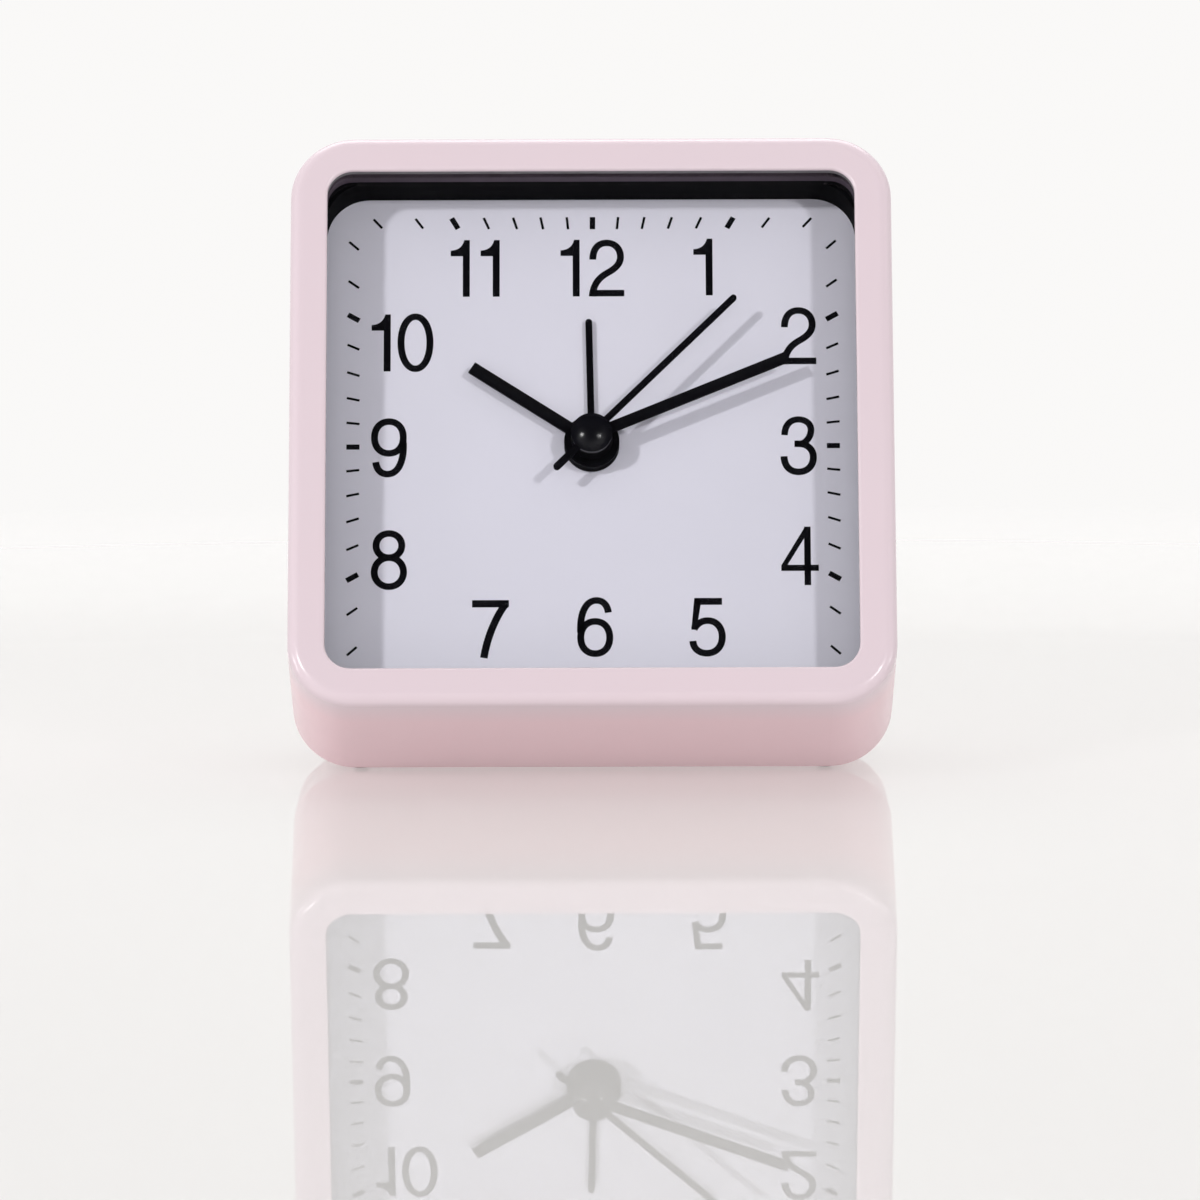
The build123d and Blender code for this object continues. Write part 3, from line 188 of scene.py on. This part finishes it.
def case_material():
    """Pale satin plastic with painted shade: a deeper, pinker tone behind the front edge stands in for the
    shaded walls, with a fine moulded grain.
    """
    material, tree, shader = blank_material("case_pink")
    tone = add_node(tree, "ShaderNodeMath")
    tone.operation = "MULTIPLY_ADD"
    tone.inputs[1].default_value = CASE_DRIFT
    tree.links.new(noise(tree, DRIFT_SCALE, 2.0), tone.inputs[0])
    # Painted shade: the deeper pink fades in from the front face back along the walls.
    painted_shade = spread(tree, clock_depth(tree), 1.0, 0.0, CASE_SHADE_FULL, CASE_FRONT_START)
    tree.links.new(painted_shade, tone.inputs[2])
    tree.links.new(two_tone(tree, tone.outputs["Value"], CASE_FRONT, CASE_SHADE_PINK, 0.05, 1.05),
                   shader.inputs["Base Color"])
    tree.links.new(spread(tree, noise(tree, SHEEN_SCALE, 2.0), 0.22, 0.25), shader.inputs["Roughness"])
    relief(tree, shader, noise(tree, GRAIN_SCALE, 2.0), FINE_DEPTH, 0.1)
    shader.inputs["IOR"].default_value = PLASTIC_IOR
    return material


# Heights above the dial, in millimetres, between which the surround's flat black, painted shade, meets its
# front step, painted as a lit band.
STEP_LOW = 6.45
STEP_HIGH = 6.65


def surround_material():
    """Stepped wall with painted light: the front step's dark purple-grey satin is a painted lit band, and
    the flat black behind it is painted shade.
    """
    material, tree, shader = blank_material("surround_black")
    depth = clock_depth(tree)
    # Painted light: the paler step stands in for light off the table, and the near-black behind it for the
    # shade past the bottom lip's shadow edge.
    tone = two_tone(tree, spread(tree, depth, 0.0, 1.0, STEP_LOW, STEP_HIGH),
                    (0.002, 0.002, 0.003), (0.135, 0.106, 0.132), 0.0, 1.0)
    tree.links.new(tone, shader.inputs["Base Color"])
    tree.links.new(spread(tree, depth, 0.72, 0.55, STEP_LOW, STEP_HIGH), shader.inputs["Roughness"])
    relief(tree, shader, noise(tree, 5200.0, 2.0), GRAIN_DEPTH, 0.2)
    shader.inputs["Specular IOR Level"].default_value = 0.02
    return material


# How much of the lens's own body shows, and the strength of its glints.
LENS_BODY = 0.003
LENS_GLINT_IOR = 1.3


def lens_material():
    """Clear sheet: mirror-like glints by angle over an almost invisible body."""
    material, tree, shader = blank_material("lens_clear")
    shader.inputs["Alpha"].default_value = LENS_BODY
    shader.inputs["Transmission Weight"].default_value = 1.0
    shader.inputs["IOR"].default_value = PLASTIC_IOR
    haze = noise(tree, 90.0, 3.0)
    tree.links.new(two_tone(tree, haze, (0.92, 0.94, 0.96), (0.96, 0.97, 0.98), 0.3, 0.7),
                   shader.inputs["Base Color"])
    tree.links.new(spread(tree, haze, 0.02, 0.05), shader.inputs["Roughness"])
    gloss = tree.nodes.new("ShaderNodeBsdfGlossy")
    gloss.inputs["Roughness"].default_value = 0.02
    angle = add_node(tree, "ShaderNodeFresnel", IOR=LENS_GLINT_IOR)
    both = tree.nodes.new("ShaderNodeMixShader")
    tree.links.new(angle.outputs["Fac"], both.inputs["Fac"])
    tree.links.new(shader.outputs["BSDF"], both.inputs[1])
    tree.links.new(gloss.outputs["BSDF"], both.inputs[2])
    tree.links.new(both.outputs["Shader"], tree.nodes["Material Output"].inputs["Surface"])
    return material


def winding_material():
    """Enamelled copper wire laid in rows across the bobbin."""
    material, tree, shader = blank_material("coil_copper")
    place = tree.nodes.new("ShaderNodeTexCoord")
    rows = add_node(tree, "ShaderNodeTexWave", Scale=1900.0, Distortion=0.6, Detail=1.0)
    tree.links.new(place.outputs["Object"], rows.inputs["Vector"])
    tree.links.new(two_tone(tree, rows.outputs["Fac"], (0.34, 0.12, 0.05), (0.72, 0.31, 0.14), 0.2, 0.8),
                   shader.inputs["Base Color"])
    tree.links.new(spread(tree, rows.outputs["Fac"], 0.45, 0.25), shader.inputs["Roughness"])
    relief(tree, shader, rows.outputs["Fac"], WIRE_DEPTH, 0.7)
    shader.inputs["Metallic"].default_value = 0.8
    return material


def board_material():
    """Solder mask over a copper layer, with the tracks showing as a lighter green."""
    material, tree, shader = blank_material("board_green")
    place = tree.nodes.new("ShaderNodeTexCoord")
    tracks = add_node(tree, "ShaderNodeTexVoronoi", Scale=420.0)
    tracks.distance = "CHEBYCHEV"
    tracks.feature = "F1"
    tree.links.new(place.outputs["Object"], tracks.inputs["Vector"])
    mask = two_tone(tree, tracks.outputs["Distance"], (0.03, 0.17, 0.07), (0.015, 0.09, 0.04), 0.3, 0.36)
    tree.links.new(mask, shader.inputs["Base Color"])
    tree.links.new(spread(tree, noise(tree, 700.0), 0.25, 0.4), shader.inputs["Roughness"])
    relief(tree, shader, tracks.outputs["Distance"], GRAIN_DEPTH, 0.3)
    return material


# The paler band of the cell's wrapper begins between these two places, in metres along x.
BAND_START = 0.0125
BAND_FULL = 0.0127


def cell_material():
    """Printed wrapper of a dry cell: one plain colour with a paler band at the button end."""
    material, tree, shader = blank_material("cell_jacket")
    place = tree.nodes.new("ShaderNodeTexCoord")
    split = tree.nodes.new("ShaderNodeSeparateXYZ")
    tree.links.new(place.outputs["Object"], split.inputs["Vector"])
    band = spread(tree, split.outputs["X"], 0.0, 1.0, BAND_START, BAND_FULL)
    tree.links.new(two_tone(tree, band, (0.05, 0.13, 0.30), (0.62, 0.64, 0.68), 0.0, 1.0),
                   shader.inputs["Base Color"])
    tree.links.new(spread(tree, noise(tree, 400.0), 0.22, 0.34), shader.inputs["Roughness"])
    relief(tree, shader, noise(tree, 2500.0), GRAIN_DEPTH, 0.15)
    shader.inputs["Metallic"].default_value = 0.35
    return material


finish = {
    "case_pink": case_material(),
    "lens_clear": lens_material(),
    "gasket_black": moulded("gasket_black", (0.120, 0.110, 0.122), (0.140, 0.130, 0.142), (0.45, 0.62)),
    "surround_black": surround_material(),
    "dial_white": moulded("dial_white", (0.855, 0.841, 0.950), (0.868, 0.854, 0.963), (0.52, 0.62),
                          grain=14000.0, strength=0.15),
    "hand_black": moulded("hand_black", (0.0030, 0.0028, 0.0042), (0.0042, 0.0040, 0.0058), (0.40, 0.5),
                          Specular_IOR_Level=0.008),
    "cap_black": moulded("cap_black", (0.003, 0.003, 0.005), (0.005, 0.005, 0.008), (0.18, 0.23),
                         Specular_IOR_Level=0.25),
    "carrier_white": moulded("carrier_white", (0.78, 0.78, 0.77), (0.84, 0.84, 0.82), (0.4, 0.55)),
    "movement_grey": moulded("movement_grey", (0.16, 0.17, 0.18), (0.21, 0.22, 0.23), (0.38, 0.52)),
    "gear_natural": moulded("gear_natural", (0.74, 0.72, 0.64), (0.82, 0.80, 0.73), (0.34, 0.46)),
    "brass_arbor": metal("brass_arbor", (0.66, 0.46, 0.17), (0.76, 0.56, 0.24), (0.18, 0.34)),
    "screw_steel": metal("screw_steel", (0.52, 0.52, 0.53), (0.64, 0.64, 0.65), (0.2, 0.38)),
    "iron_plate": metal("iron_plate", (0.36, 0.35, 0.34), (0.46, 0.45, 0.44), (0.3, 0.5), (1.0, 1.0, 8.0)),
    "magnet_dark": moulded("magnet_dark", (0.045, 0.045, 0.05), (0.075, 0.075, 0.08), (0.4, 0.6)),
    "bobbin_white": moulded("bobbin_white", (0.76, 0.75, 0.71), (0.82, 0.81, 0.78), (0.4, 0.55)),
    "coil_copper": winding_material(),
    "board_green": board_material(),
    "chip_black": moulded("chip_black", (0.012, 0.012, 0.012), (0.022, 0.022, 0.022), (0.25, 0.45)),
    "can_bright": metal("can_bright", (0.70, 0.70, 0.71), (0.80, 0.80, 0.81), (0.14, 0.28),
                        (1.0, 1.0, 6.0)),
    "buzzer_black": moulded("buzzer_black", (0.015, 0.015, 0.016), (0.028, 0.028, 0.03), (0.4, 0.55)),
    "contact_nickel": metal("contact_nickel", (0.60, 0.58, 0.54), (0.70, 0.68, 0.64), (0.2, 0.36)),
    "cell_jacket": cell_material(),
    "knob_white": moulded("knob_white", (0.80, 0.78, 0.78), (0.85, 0.83, 0.83), (0.32, 0.44)),
    "switch_white": moulded("switch_white", (0.80, 0.78, 0.78), (0.85, 0.83, 0.83), (0.32, 0.44)),
    "foot_grey": moulded("foot_grey", (0.50, 0.42, 0.42), (0.58, 0.49, 0.49), (0.6, 0.75)),
}
for part in frame["record"]["subparts"]:
    mesh = nodes[part["node"]].data
    mesh.materials.clear()
    mesh.materials.append(finish[part["material_slot"]])


def bezier(start, first, second, end, steps=14):
    """Points along one curve, without its first point."""
    points = []
    for step in range(1, steps + 1):
        t = step / steps
        u = 1 - t
        points.append(tuple(u ** 3 * a + 3 * u * u * t * b + 3 * u * t * t * c + t ** 3 * d
                            for a, b, c, d in zip(start, first, second, end)))
    return points


def stroke(start, *curves):
    """The middle line of one pen stroke: each curve is two handles and an end, or one straight end."""
    line = [start]
    for curve in curves:
        if len(curve) == 3:
            line += bezier(line[-1], *curve)
        else:
            line.append(curve[0])
    return line


def loop(x, y, half_width, half_height, square=0.6):
    """A closed oval stroke, a little squarer than an ellipse."""
    w = half_width
    h = half_height
    kx = square * w
    ky = square * h
    return stroke((x, y + h), ((x + kx, y + h), (x + w, y + ky), (x + w, y)),
                  ((x + w, y - ky), (x + kx, y - h), (x, y - h)),
                  ((x - kx, y - h), (x - w, y - ky), (x - w, y)),
                  ((x - w, y + ky), (x - kx, y + h), (x, y + h)))


def ribbon(line, width):
    """The outline quads of a stroke of even width along a line."""
    count = len(line)
    closed = line[0] == line[-1]
    left = []
    right = []
    for i, (x, y) in enumerate(line):
        before = line[i - 1] if i else (line[-2] if closed else line[0])
        after = line[i + 1] if i + 1 < count else (line[1] if closed else line[-1])
        dx = after[0] - before[0]
        dy = after[1] - before[1]
        size = math.hypot(dx, dy)
        nx = -dy / size * width / 2
        ny = dx / size * width / 2
        left.append((x + nx, y + ny))
        right.append((x - nx, y - ny))
    return [[left[i], left[i + 1], right[i + 1], right[i]] for i in range(count - 1)]


# Each digit is drawn from its lower left corner, in millimetres, with pens of these widths.
PEN = 0.87
THIN_PEN = 0.83
WIDE_PEN = 0.93
SIX = (ribbon(stroke((3.90, 5.83), ((3.76, 6.90), (3.20, 7.43), (2.42, 7.43)),
                     ((1.10, 7.43), (0.44, 5.80), (0.44, 3.75)), ((0.44, 3.2),)), PEN)
       + ribbon(loop(2.26, 2.55, 1.80, 2.12), PEN))
DIGITS = {
    "0": ribbon(loop(2.25, 3.92, 1.815, 3.50, 0.58), PEN),
    "1": [[(0.0, 5.48), (1.53, 5.48), (1.53, 0.0), (2.40, 0.0), (2.40, 7.65), (1.70, 7.65)]
          + bezier((1.70, 7.65), (1.50, 6.65), (0.75, 6.24), (0.0, 6.24))],
    "2": ribbon(stroke((0.54, 4.97), ((0.54, 6.40), (1.20, 7.22), (2.28, 7.22)),
                       ((3.30, 7.22), (4.02, 6.45), (4.02, 5.35)),
                       ((4.02, 4.25), (3.20, 3.65), (2.35, 3.15)),
                       ((1.35, 2.55), (0.62, 1.75), (0.46, 0.0))), PEN)
         + [[(0.03, 0.0), (4.48, 0.0), (4.48, PEN), (0.2, PEN)]],
    "3": ribbon(stroke((0.54, 5.33), ((0.56, 6.60), (1.20, 7.42), (2.25, 7.42)),
                       ((3.20, 7.42), (3.84, 6.85), (3.84, 6.05)),
                       ((3.84, 5.00), (3.10, 4.17), (2.40, 4.17)), ((1.76, 4.17),)), THIN_PEN)
         + ribbon(stroke((1.76, 4.17), ((2.30, 4.17),), ((3.40, 4.17), (4.10, 3.40), (4.10, 2.40)),
                         ((4.10, 1.20), (3.30, 0.43), (2.25, 0.43)),
                         ((1.15, 0.43), (0.46, 1.20), (0.44, 2.51))), PEN),
    "4": [[(0.0, 1.89), (4.66, 1.89), (4.66, 2.69), (0.0, 2.69)],
          [(2.87, 0.0), (3.69, 0.0), (3.69, 7.73), (2.87, 7.73)],
          [(0.0, 2.62), (0.73, 2.60), (2.9, 6.24), (3.25, 7.73), (3.0, 7.73)]],
    "5": ribbon(stroke((0.60, 3.60), ((1.00, 4.35), (1.60, 4.72), (2.30, 4.72)),
                       ((3.40, 4.72), (4.10, 3.80), (4.10, 2.60)),
                       ((4.10, 1.30), (3.30, 0.43), (2.20, 0.43)),
                       ((1.20, 0.43), (0.50, 1.05), (0.46, 2.05))), PEN)
         + [[(0.66, 7.70), (0.27, 3.53), (0.97, 3.53), (1.20, 4.20), (1.12, 4.75), (1.45, 6.80),
             (1.60, 7.70)],
            [(0.66, 7.70), (0.58, 6.80), (4.10, 6.80), (4.10, 7.70)]],
    "6": SIX,
    "7": ribbon(stroke((4.12, 7.02), ((2.90, 5.30), (1.85, 2.60), (1.47, 0.0))), WIDE_PEN)
         + [[(0.0, 6.65), (4.58, 6.65), (4.58, 7.60), (0.0, 7.60)]],
    "8": (ribbon(loop(2.25, 5.85, 1.60, 1.60, 0.57), PEN)
          + ribbon(loop(2.26, 2.335, 1.82, 1.915, 0.57), PEN)),
    "9": [[(4.50 - x, 7.86 - y) for x, y in face] for face in SIX],
}
# Lower left corner of each digit on the dial, in millimetres from the centre.
NUMERALS = (
    ("1", -4.03, 20.10), ("2", -0.51, 20.10), ("1", 12.68, 20.20), ("2", 23.50, 10.90), ("3", 23.38, -3.92),
    ("4", 23.34, -18.50), ("5", 11.83, -27.85), ("6", -2.08, -27.86), ("7", -15.10, -27.95),
    ("8", -27.70, -18.95), ("9", -27.75, -4.05), ("1", -27.74, 10.10), ("0", -24.48, 10.02),
    ("1", -17.84, 20.10), ("1", -14.08, 20.10),
)
# The print lies a little off the hands' axis.
PRINT_X = 0.178
PRINT_Y = 0.03
# The ink's lower and upper face, in millimetres above the dial.
INK_LOW = 0.004
INK_HIGH = 0.022


def print_on_dial(name, outlines):
    """Thin raised ink on the dial, from flat outlines in the clock's own millimetres."""
    ink = bmesh.new()
    for outline in outlines:
        corners = [on_clock(x + PRINT_X, y + PRINT_Y, INK_LOW) for x, y in outline]
        face = ink.faces.new([ink.verts.new(corner) for corner in corners])
        face.normal_update()
        if face.normal.dot(OUT) < 0:
            face.normal_flip()
    raised = bmesh.ops.extrude_face_region(ink, geom=list(ink.faces), use_keep_orig=True)
    top = [v for v in raised["geom"] if isinstance(v, bmesh.types.BMVert)]
    bmesh.ops.translate(ink, verts=top, vec=OUT * (INK_HIGH - INK_LOW) * MM)
    bmesh.ops.recalc_face_normals(ink, faces=list(ink.faces))
    mesh = bpy.data.meshes.new(name)
    ink.to_mesh(mesh)
    ink.free()
    mesh.materials.append(finish["hand_black"])
    piece = bpy.data.objects.new(name, mesh)
    bpy.context.scene.collection.objects.link(piece)
    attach(piece, "clock_body")


print_on_dial("dial_numerals", [[(x + left, y + low) for x, y in outline]
                                for digit, left, low in NUMERALS for outline in DIGITS[digit]])


# Half the side of the square minute track. Its lower side sits a little further out, behind the bezel.
TRACK = 30.0
TRACK_LOWER = 30.5
TICK_HALF_LENGTH = 0.82
TICK_HALF_WIDTH = 0.155
HOUR_TICK_HALF_WIDTH = 0.34
BAR_CORNERS = ((-1, -1), (1, -1), (1, 1), (-1, 1))


def tick(minute):
    """One bar of the minute track: it points at the centre and sits on a square."""
    turn = math.radians(6 * minute)
    away = Vector((math.sin(turn), math.cos(turn)))
    side = Vector((away.y, -away.x))
    lower_side = -away.y > abs(away.x)
    middle = away * ((TRACK_LOWER if lower_side else TRACK) / max(abs(away.x), abs(away.y)))
    half_length = away * TICK_HALF_LENGTH
    half_width = side * (HOUR_TICK_HALF_WIDTH if minute % 5 == 0 else TICK_HALF_WIDTH)
    return [tuple(middle + half_length * a + half_width * b) for a, b in BAR_CORNERS]


print_on_dial("dial_minute_track", [tick(minute) for minute in range(60)])


def look(place, target, name, data):
    """Hangs a lamp at a place, facing a target, out of the camera's sight."""
    lamp = bpy.data.objects.new(name, data)
    lamp.location = place
    lamp.rotation_euler = (target - place).to_track_quat("-Z", "Y").to_euler()
    lamp.visible_camera = False
    bpy.context.scene.collection.objects.link(lamp)
    return lamp


# Distances and sizes of the lamps are in metres, their powers in watts and their angles in degrees.
LAMP_DISTANCE = 2.0
BACK_PLACE = Vector((0.0, 0.45, 0.85))
BACK_WIDTH = 1.0
BACK_DEPTH = 0.5
BACK_POWER = 5.0


def softbox(name, azimuth, elevation, size, power):
    """A square lamp, placed by its angles from the way the dial faces."""
    a = math.radians(azimuth)
    e = math.radians(elevation)
    away = (ACROSS * math.sin(a) + OUT * math.cos(a)) * math.cos(e) + UP_FACE * math.sin(e)
    lamp = bpy.data.lights.new(name, "AREA")
    lamp.shape = "SQUARE"
    lamp.size = size
    lamp.energy = power
    return look(DIAL_CENTRE + away * LAMP_DISTANCE, DIAL_CENTRE, name, lamp)


softbox("left_softbox", azimuth=-34.0, elevation=5.0, size=0.10, power=11.7)
softbox("right_softbox", azimuth=27.0, elevation=0.0, size=0.10, power=8.2)
softbox("left_card", azimuth=-78.0, elevation=-1.0, size=0.3, power=5.6)
softbox("right_card", azimuth=75.0, elevation=0.0, size=0.3, power=2.8)
front_panel = softbox("front_panel", azimuth=0.0, elevation=-14.0, size=0.6, power=3.2)
front_panel.visible_glossy = False


def back_softbox():
    """A wide lamp over and behind the clock: it lights the table and the upper edges, not the dial."""
    lamp = bpy.data.lights.new("back_softbox", "AREA")
    lamp.shape = "RECTANGLE"
    lamp.size = BACK_WIDTH
    lamp.size_y = BACK_DEPTH
    lamp.energy = BACK_POWER
    look(BACK_PLACE, Vector((0.0, 0.0, 0.0)), "back_softbox", lamp)


back_softbox()


ROOM_WHITE = (0.955, 0.945, 0.935)
ROOM_LIGHT = 0.40
DIM_PATCH = (0.03, 0.03, 0.03)
# The way from the clock to the middle of the dim patch, which the lens mirrors to the camera.
PATCH_WAY = (0.0, -0.70, 0.714)
# Cosines of the angle from that way: the patch begins at its edge and is darkest from its core on.
PATCH_EDGE = 0.62
PATCH_CORE = 0.86


def studio_world():
    """White room that the camera sees plain; gloss sees one dim patch high in front."""
    world = bpy.data.worlds.new("studio")
    bpy.context.scene.world = world
    world.use_nodes = True
    tree = world.node_tree
    backdrop = tree.nodes["Background"]
    place = tree.nodes.new("ShaderNodeTexCoord")
    facing = tree.nodes.new("ShaderNodeVectorMath")
    facing.operation = "DOT_PRODUCT"
    facing.inputs[1].default_value = PATCH_WAY
    tree.links.new(place.outputs["Generated"], facing.inputs[0])
    wall = two_tone(tree, spread(tree, facing.outputs["Value"], 0.0, 1.0, PATCH_EDGE, PATCH_CORE),
                    ROOM_WHITE, DIM_PATCH, 0.0, 1.0)
    tree.links.new(wall, backdrop.inputs["Color"])
    ray = tree.nodes.new("ShaderNodeLightPath")
    level = tree.nodes.new("ShaderNodeMapRange")
    level.inputs["To Min"].default_value = 1.0
    level.inputs["To Max"].default_value = ROOM_LIGHT
    seen = tree.nodes.new("ShaderNodeBackground")
    seen.inputs["Color"].default_value = (*ROOM_WHITE, 1.0)
    tree.links.new(ray.outputs["Is Diffuse Ray"], level.inputs["Value"])
    tree.links.new(level.outputs["Result"], seen.inputs["Strength"])
    choose = tree.nodes.new("ShaderNodeMixShader")
    tree.links.new(ray.outputs["Is Glossy Ray"], choose.inputs["Fac"])
    tree.links.new(seen.outputs["Background"], choose.inputs[1])
    tree.links.new(backdrop.outputs["Background"], choose.inputs[2])
    tree.links.new(choose.outputs["Shader"], tree.nodes["World Output"].inputs["Surface"])


studio_world()


# The table's radius, its gap below the feet and the reach of light inside it, in metres.
TABLE_RADIUS = 6.0
TABLE_GAP = 0.0001
TABLE_REACH = 0.06
TABLE_IOR = 1.35
TABLE_GLOW = (0.79, 0.785, 0.775, 1.0)
# The table fades into the room between these distances, in metres, from a point in front of the clock.
FADE_CENTRE = (0.0, -0.15, 0.0)
FADE_START = 0.28
FADE_END = 0.46


def table_top():
    """A wide polished table of milky sheet, lit from both sides, that fades into the white room."""
    mesh = bpy.data.meshes.new("table")
    disc = bmesh.new()
    bmesh.ops.create_circle(disc, cap_ends=True, segments=96, radius=TABLE_RADIUS)
    disc.to_mesh(mesh)
    disc.free()
    table = bpy.data.objects.new("table", mesh)
    table.location.z = packed_box[0].z - TABLE_GAP
    bpy.context.scene.collection.objects.link(table)
    material, tree, shader = blank_material("table_white")
    cloud = noise(tree, 3.0)
    tree.links.new(two_tone(tree, cloud, (0.40, 0.39, 0.385), (0.42, 0.41, 0.405), 0.3, 0.7),
                   shader.inputs["Base Color"])
    tree.links.new(spread(tree, cloud, 0.004, 0.012), shader.inputs["Roughness"])
    shader.inputs["IOR"].default_value = TABLE_IOR
    shader.inputs["Subsurface Weight"].default_value = 1.0
    shader.inputs["Subsurface Radius"].default_value = (1.0, 1.0, 1.0)
    shader.inputs["Subsurface Scale"].default_value = TABLE_REACH
    place = tree.nodes.new("ShaderNodeTexCoord")
    reach = tree.nodes.new("ShaderNodeVectorMath")
    reach.operation = "DISTANCE"
    reach.inputs[1].default_value = FADE_CENTRE
    tree.links.new(place.outputs["Object"], reach.inputs[0])
    glow = tree.nodes.new("ShaderNodeBsdfTranslucent")
    glow.inputs["Color"].default_value = TABLE_GLOW
    polish = add_node(tree, "ShaderNodeFresnel", IOR=TABLE_IOR)
    under = tree.nodes.new("ShaderNodeMixShader")
    tree.links.new(polish.outputs["Fac"], under.inputs["Fac"])
    tree.links.new(glow.outputs["BSDF"], under.inputs[1])
    milky = tree.nodes.new("ShaderNodeAddShader")
    tree.links.new(shader.outputs["BSDF"], milky.inputs[0])
    tree.links.new(under.outputs["Shader"], milky.inputs[1])
    clear = tree.nodes.new("ShaderNodeBsdfTransparent")
    fade = tree.nodes.new("ShaderNodeMixShader")
    tree.links.new(spread(tree, reach.outputs["Value"], 0.0, 1.0, FADE_START, FADE_END), fade.inputs["Fac"])
    tree.links.new(milky.outputs["Shader"], fade.inputs[1])
    tree.links.new(clear.outputs["BSDF"], fade.inputs[2])
    tree.links.new(fade.outputs["Shader"], tree.nodes["Material Output"].inputs["Surface"])
    mesh.materials.append(material)


table_top()


# The camera's place in metres, its angles in radians, and its lens and sensor in millimetres.
CAMERA_PLACE = Vector((-0.00009, -1.19074, 0.15535))
PITCH = 0.11351
YAW = 0.0009
ROLL = 0.00306
FOCAL_LENGTH = 285.02
SENSOR_WIDTH = 36.0


def photo_camera():
    """The photograph's own view: a long lens a little above the clock."""
    ahead = Vector((math.sin(YAW) * math.cos(PITCH), math.cos(YAW) * math.cos(PITCH), -math.sin(PITCH)))
    level = Vector((math.cos(YAW), -math.sin(YAW), 0.0))
    above = level.cross(ahead)
    right = level * math.cos(ROLL) - above * math.sin(ROLL)
    up = level * math.sin(ROLL) + above * math.cos(ROLL)
    data = bpy.data.cameras.new("photo_camera")
    data.sensor_width = SENSOR_WIDTH
    data.lens = FOCAL_LENGTH
    data.clip_start = 0.05
    data.clip_end = 50.0
    camera = bpy.data.objects.new("photo_camera", data)
    camera.matrix_world = Matrix((
        (right.x, up.x, -ahead.x, CAMERA_PLACE.x),
        (right.y, up.y, -ahead.y, CAMERA_PLACE.y),
        (right.z, up.z, -ahead.z, CAMERA_PLACE.z),
        (0.0, 0.0, 0.0, 1.0),
    ))
    bpy.context.scene.collection.objects.link(camera)
    bpy.context.scene.camera = camera


photo_camera()
bpy.context.scene.view_settings.view_transform = "Standard"
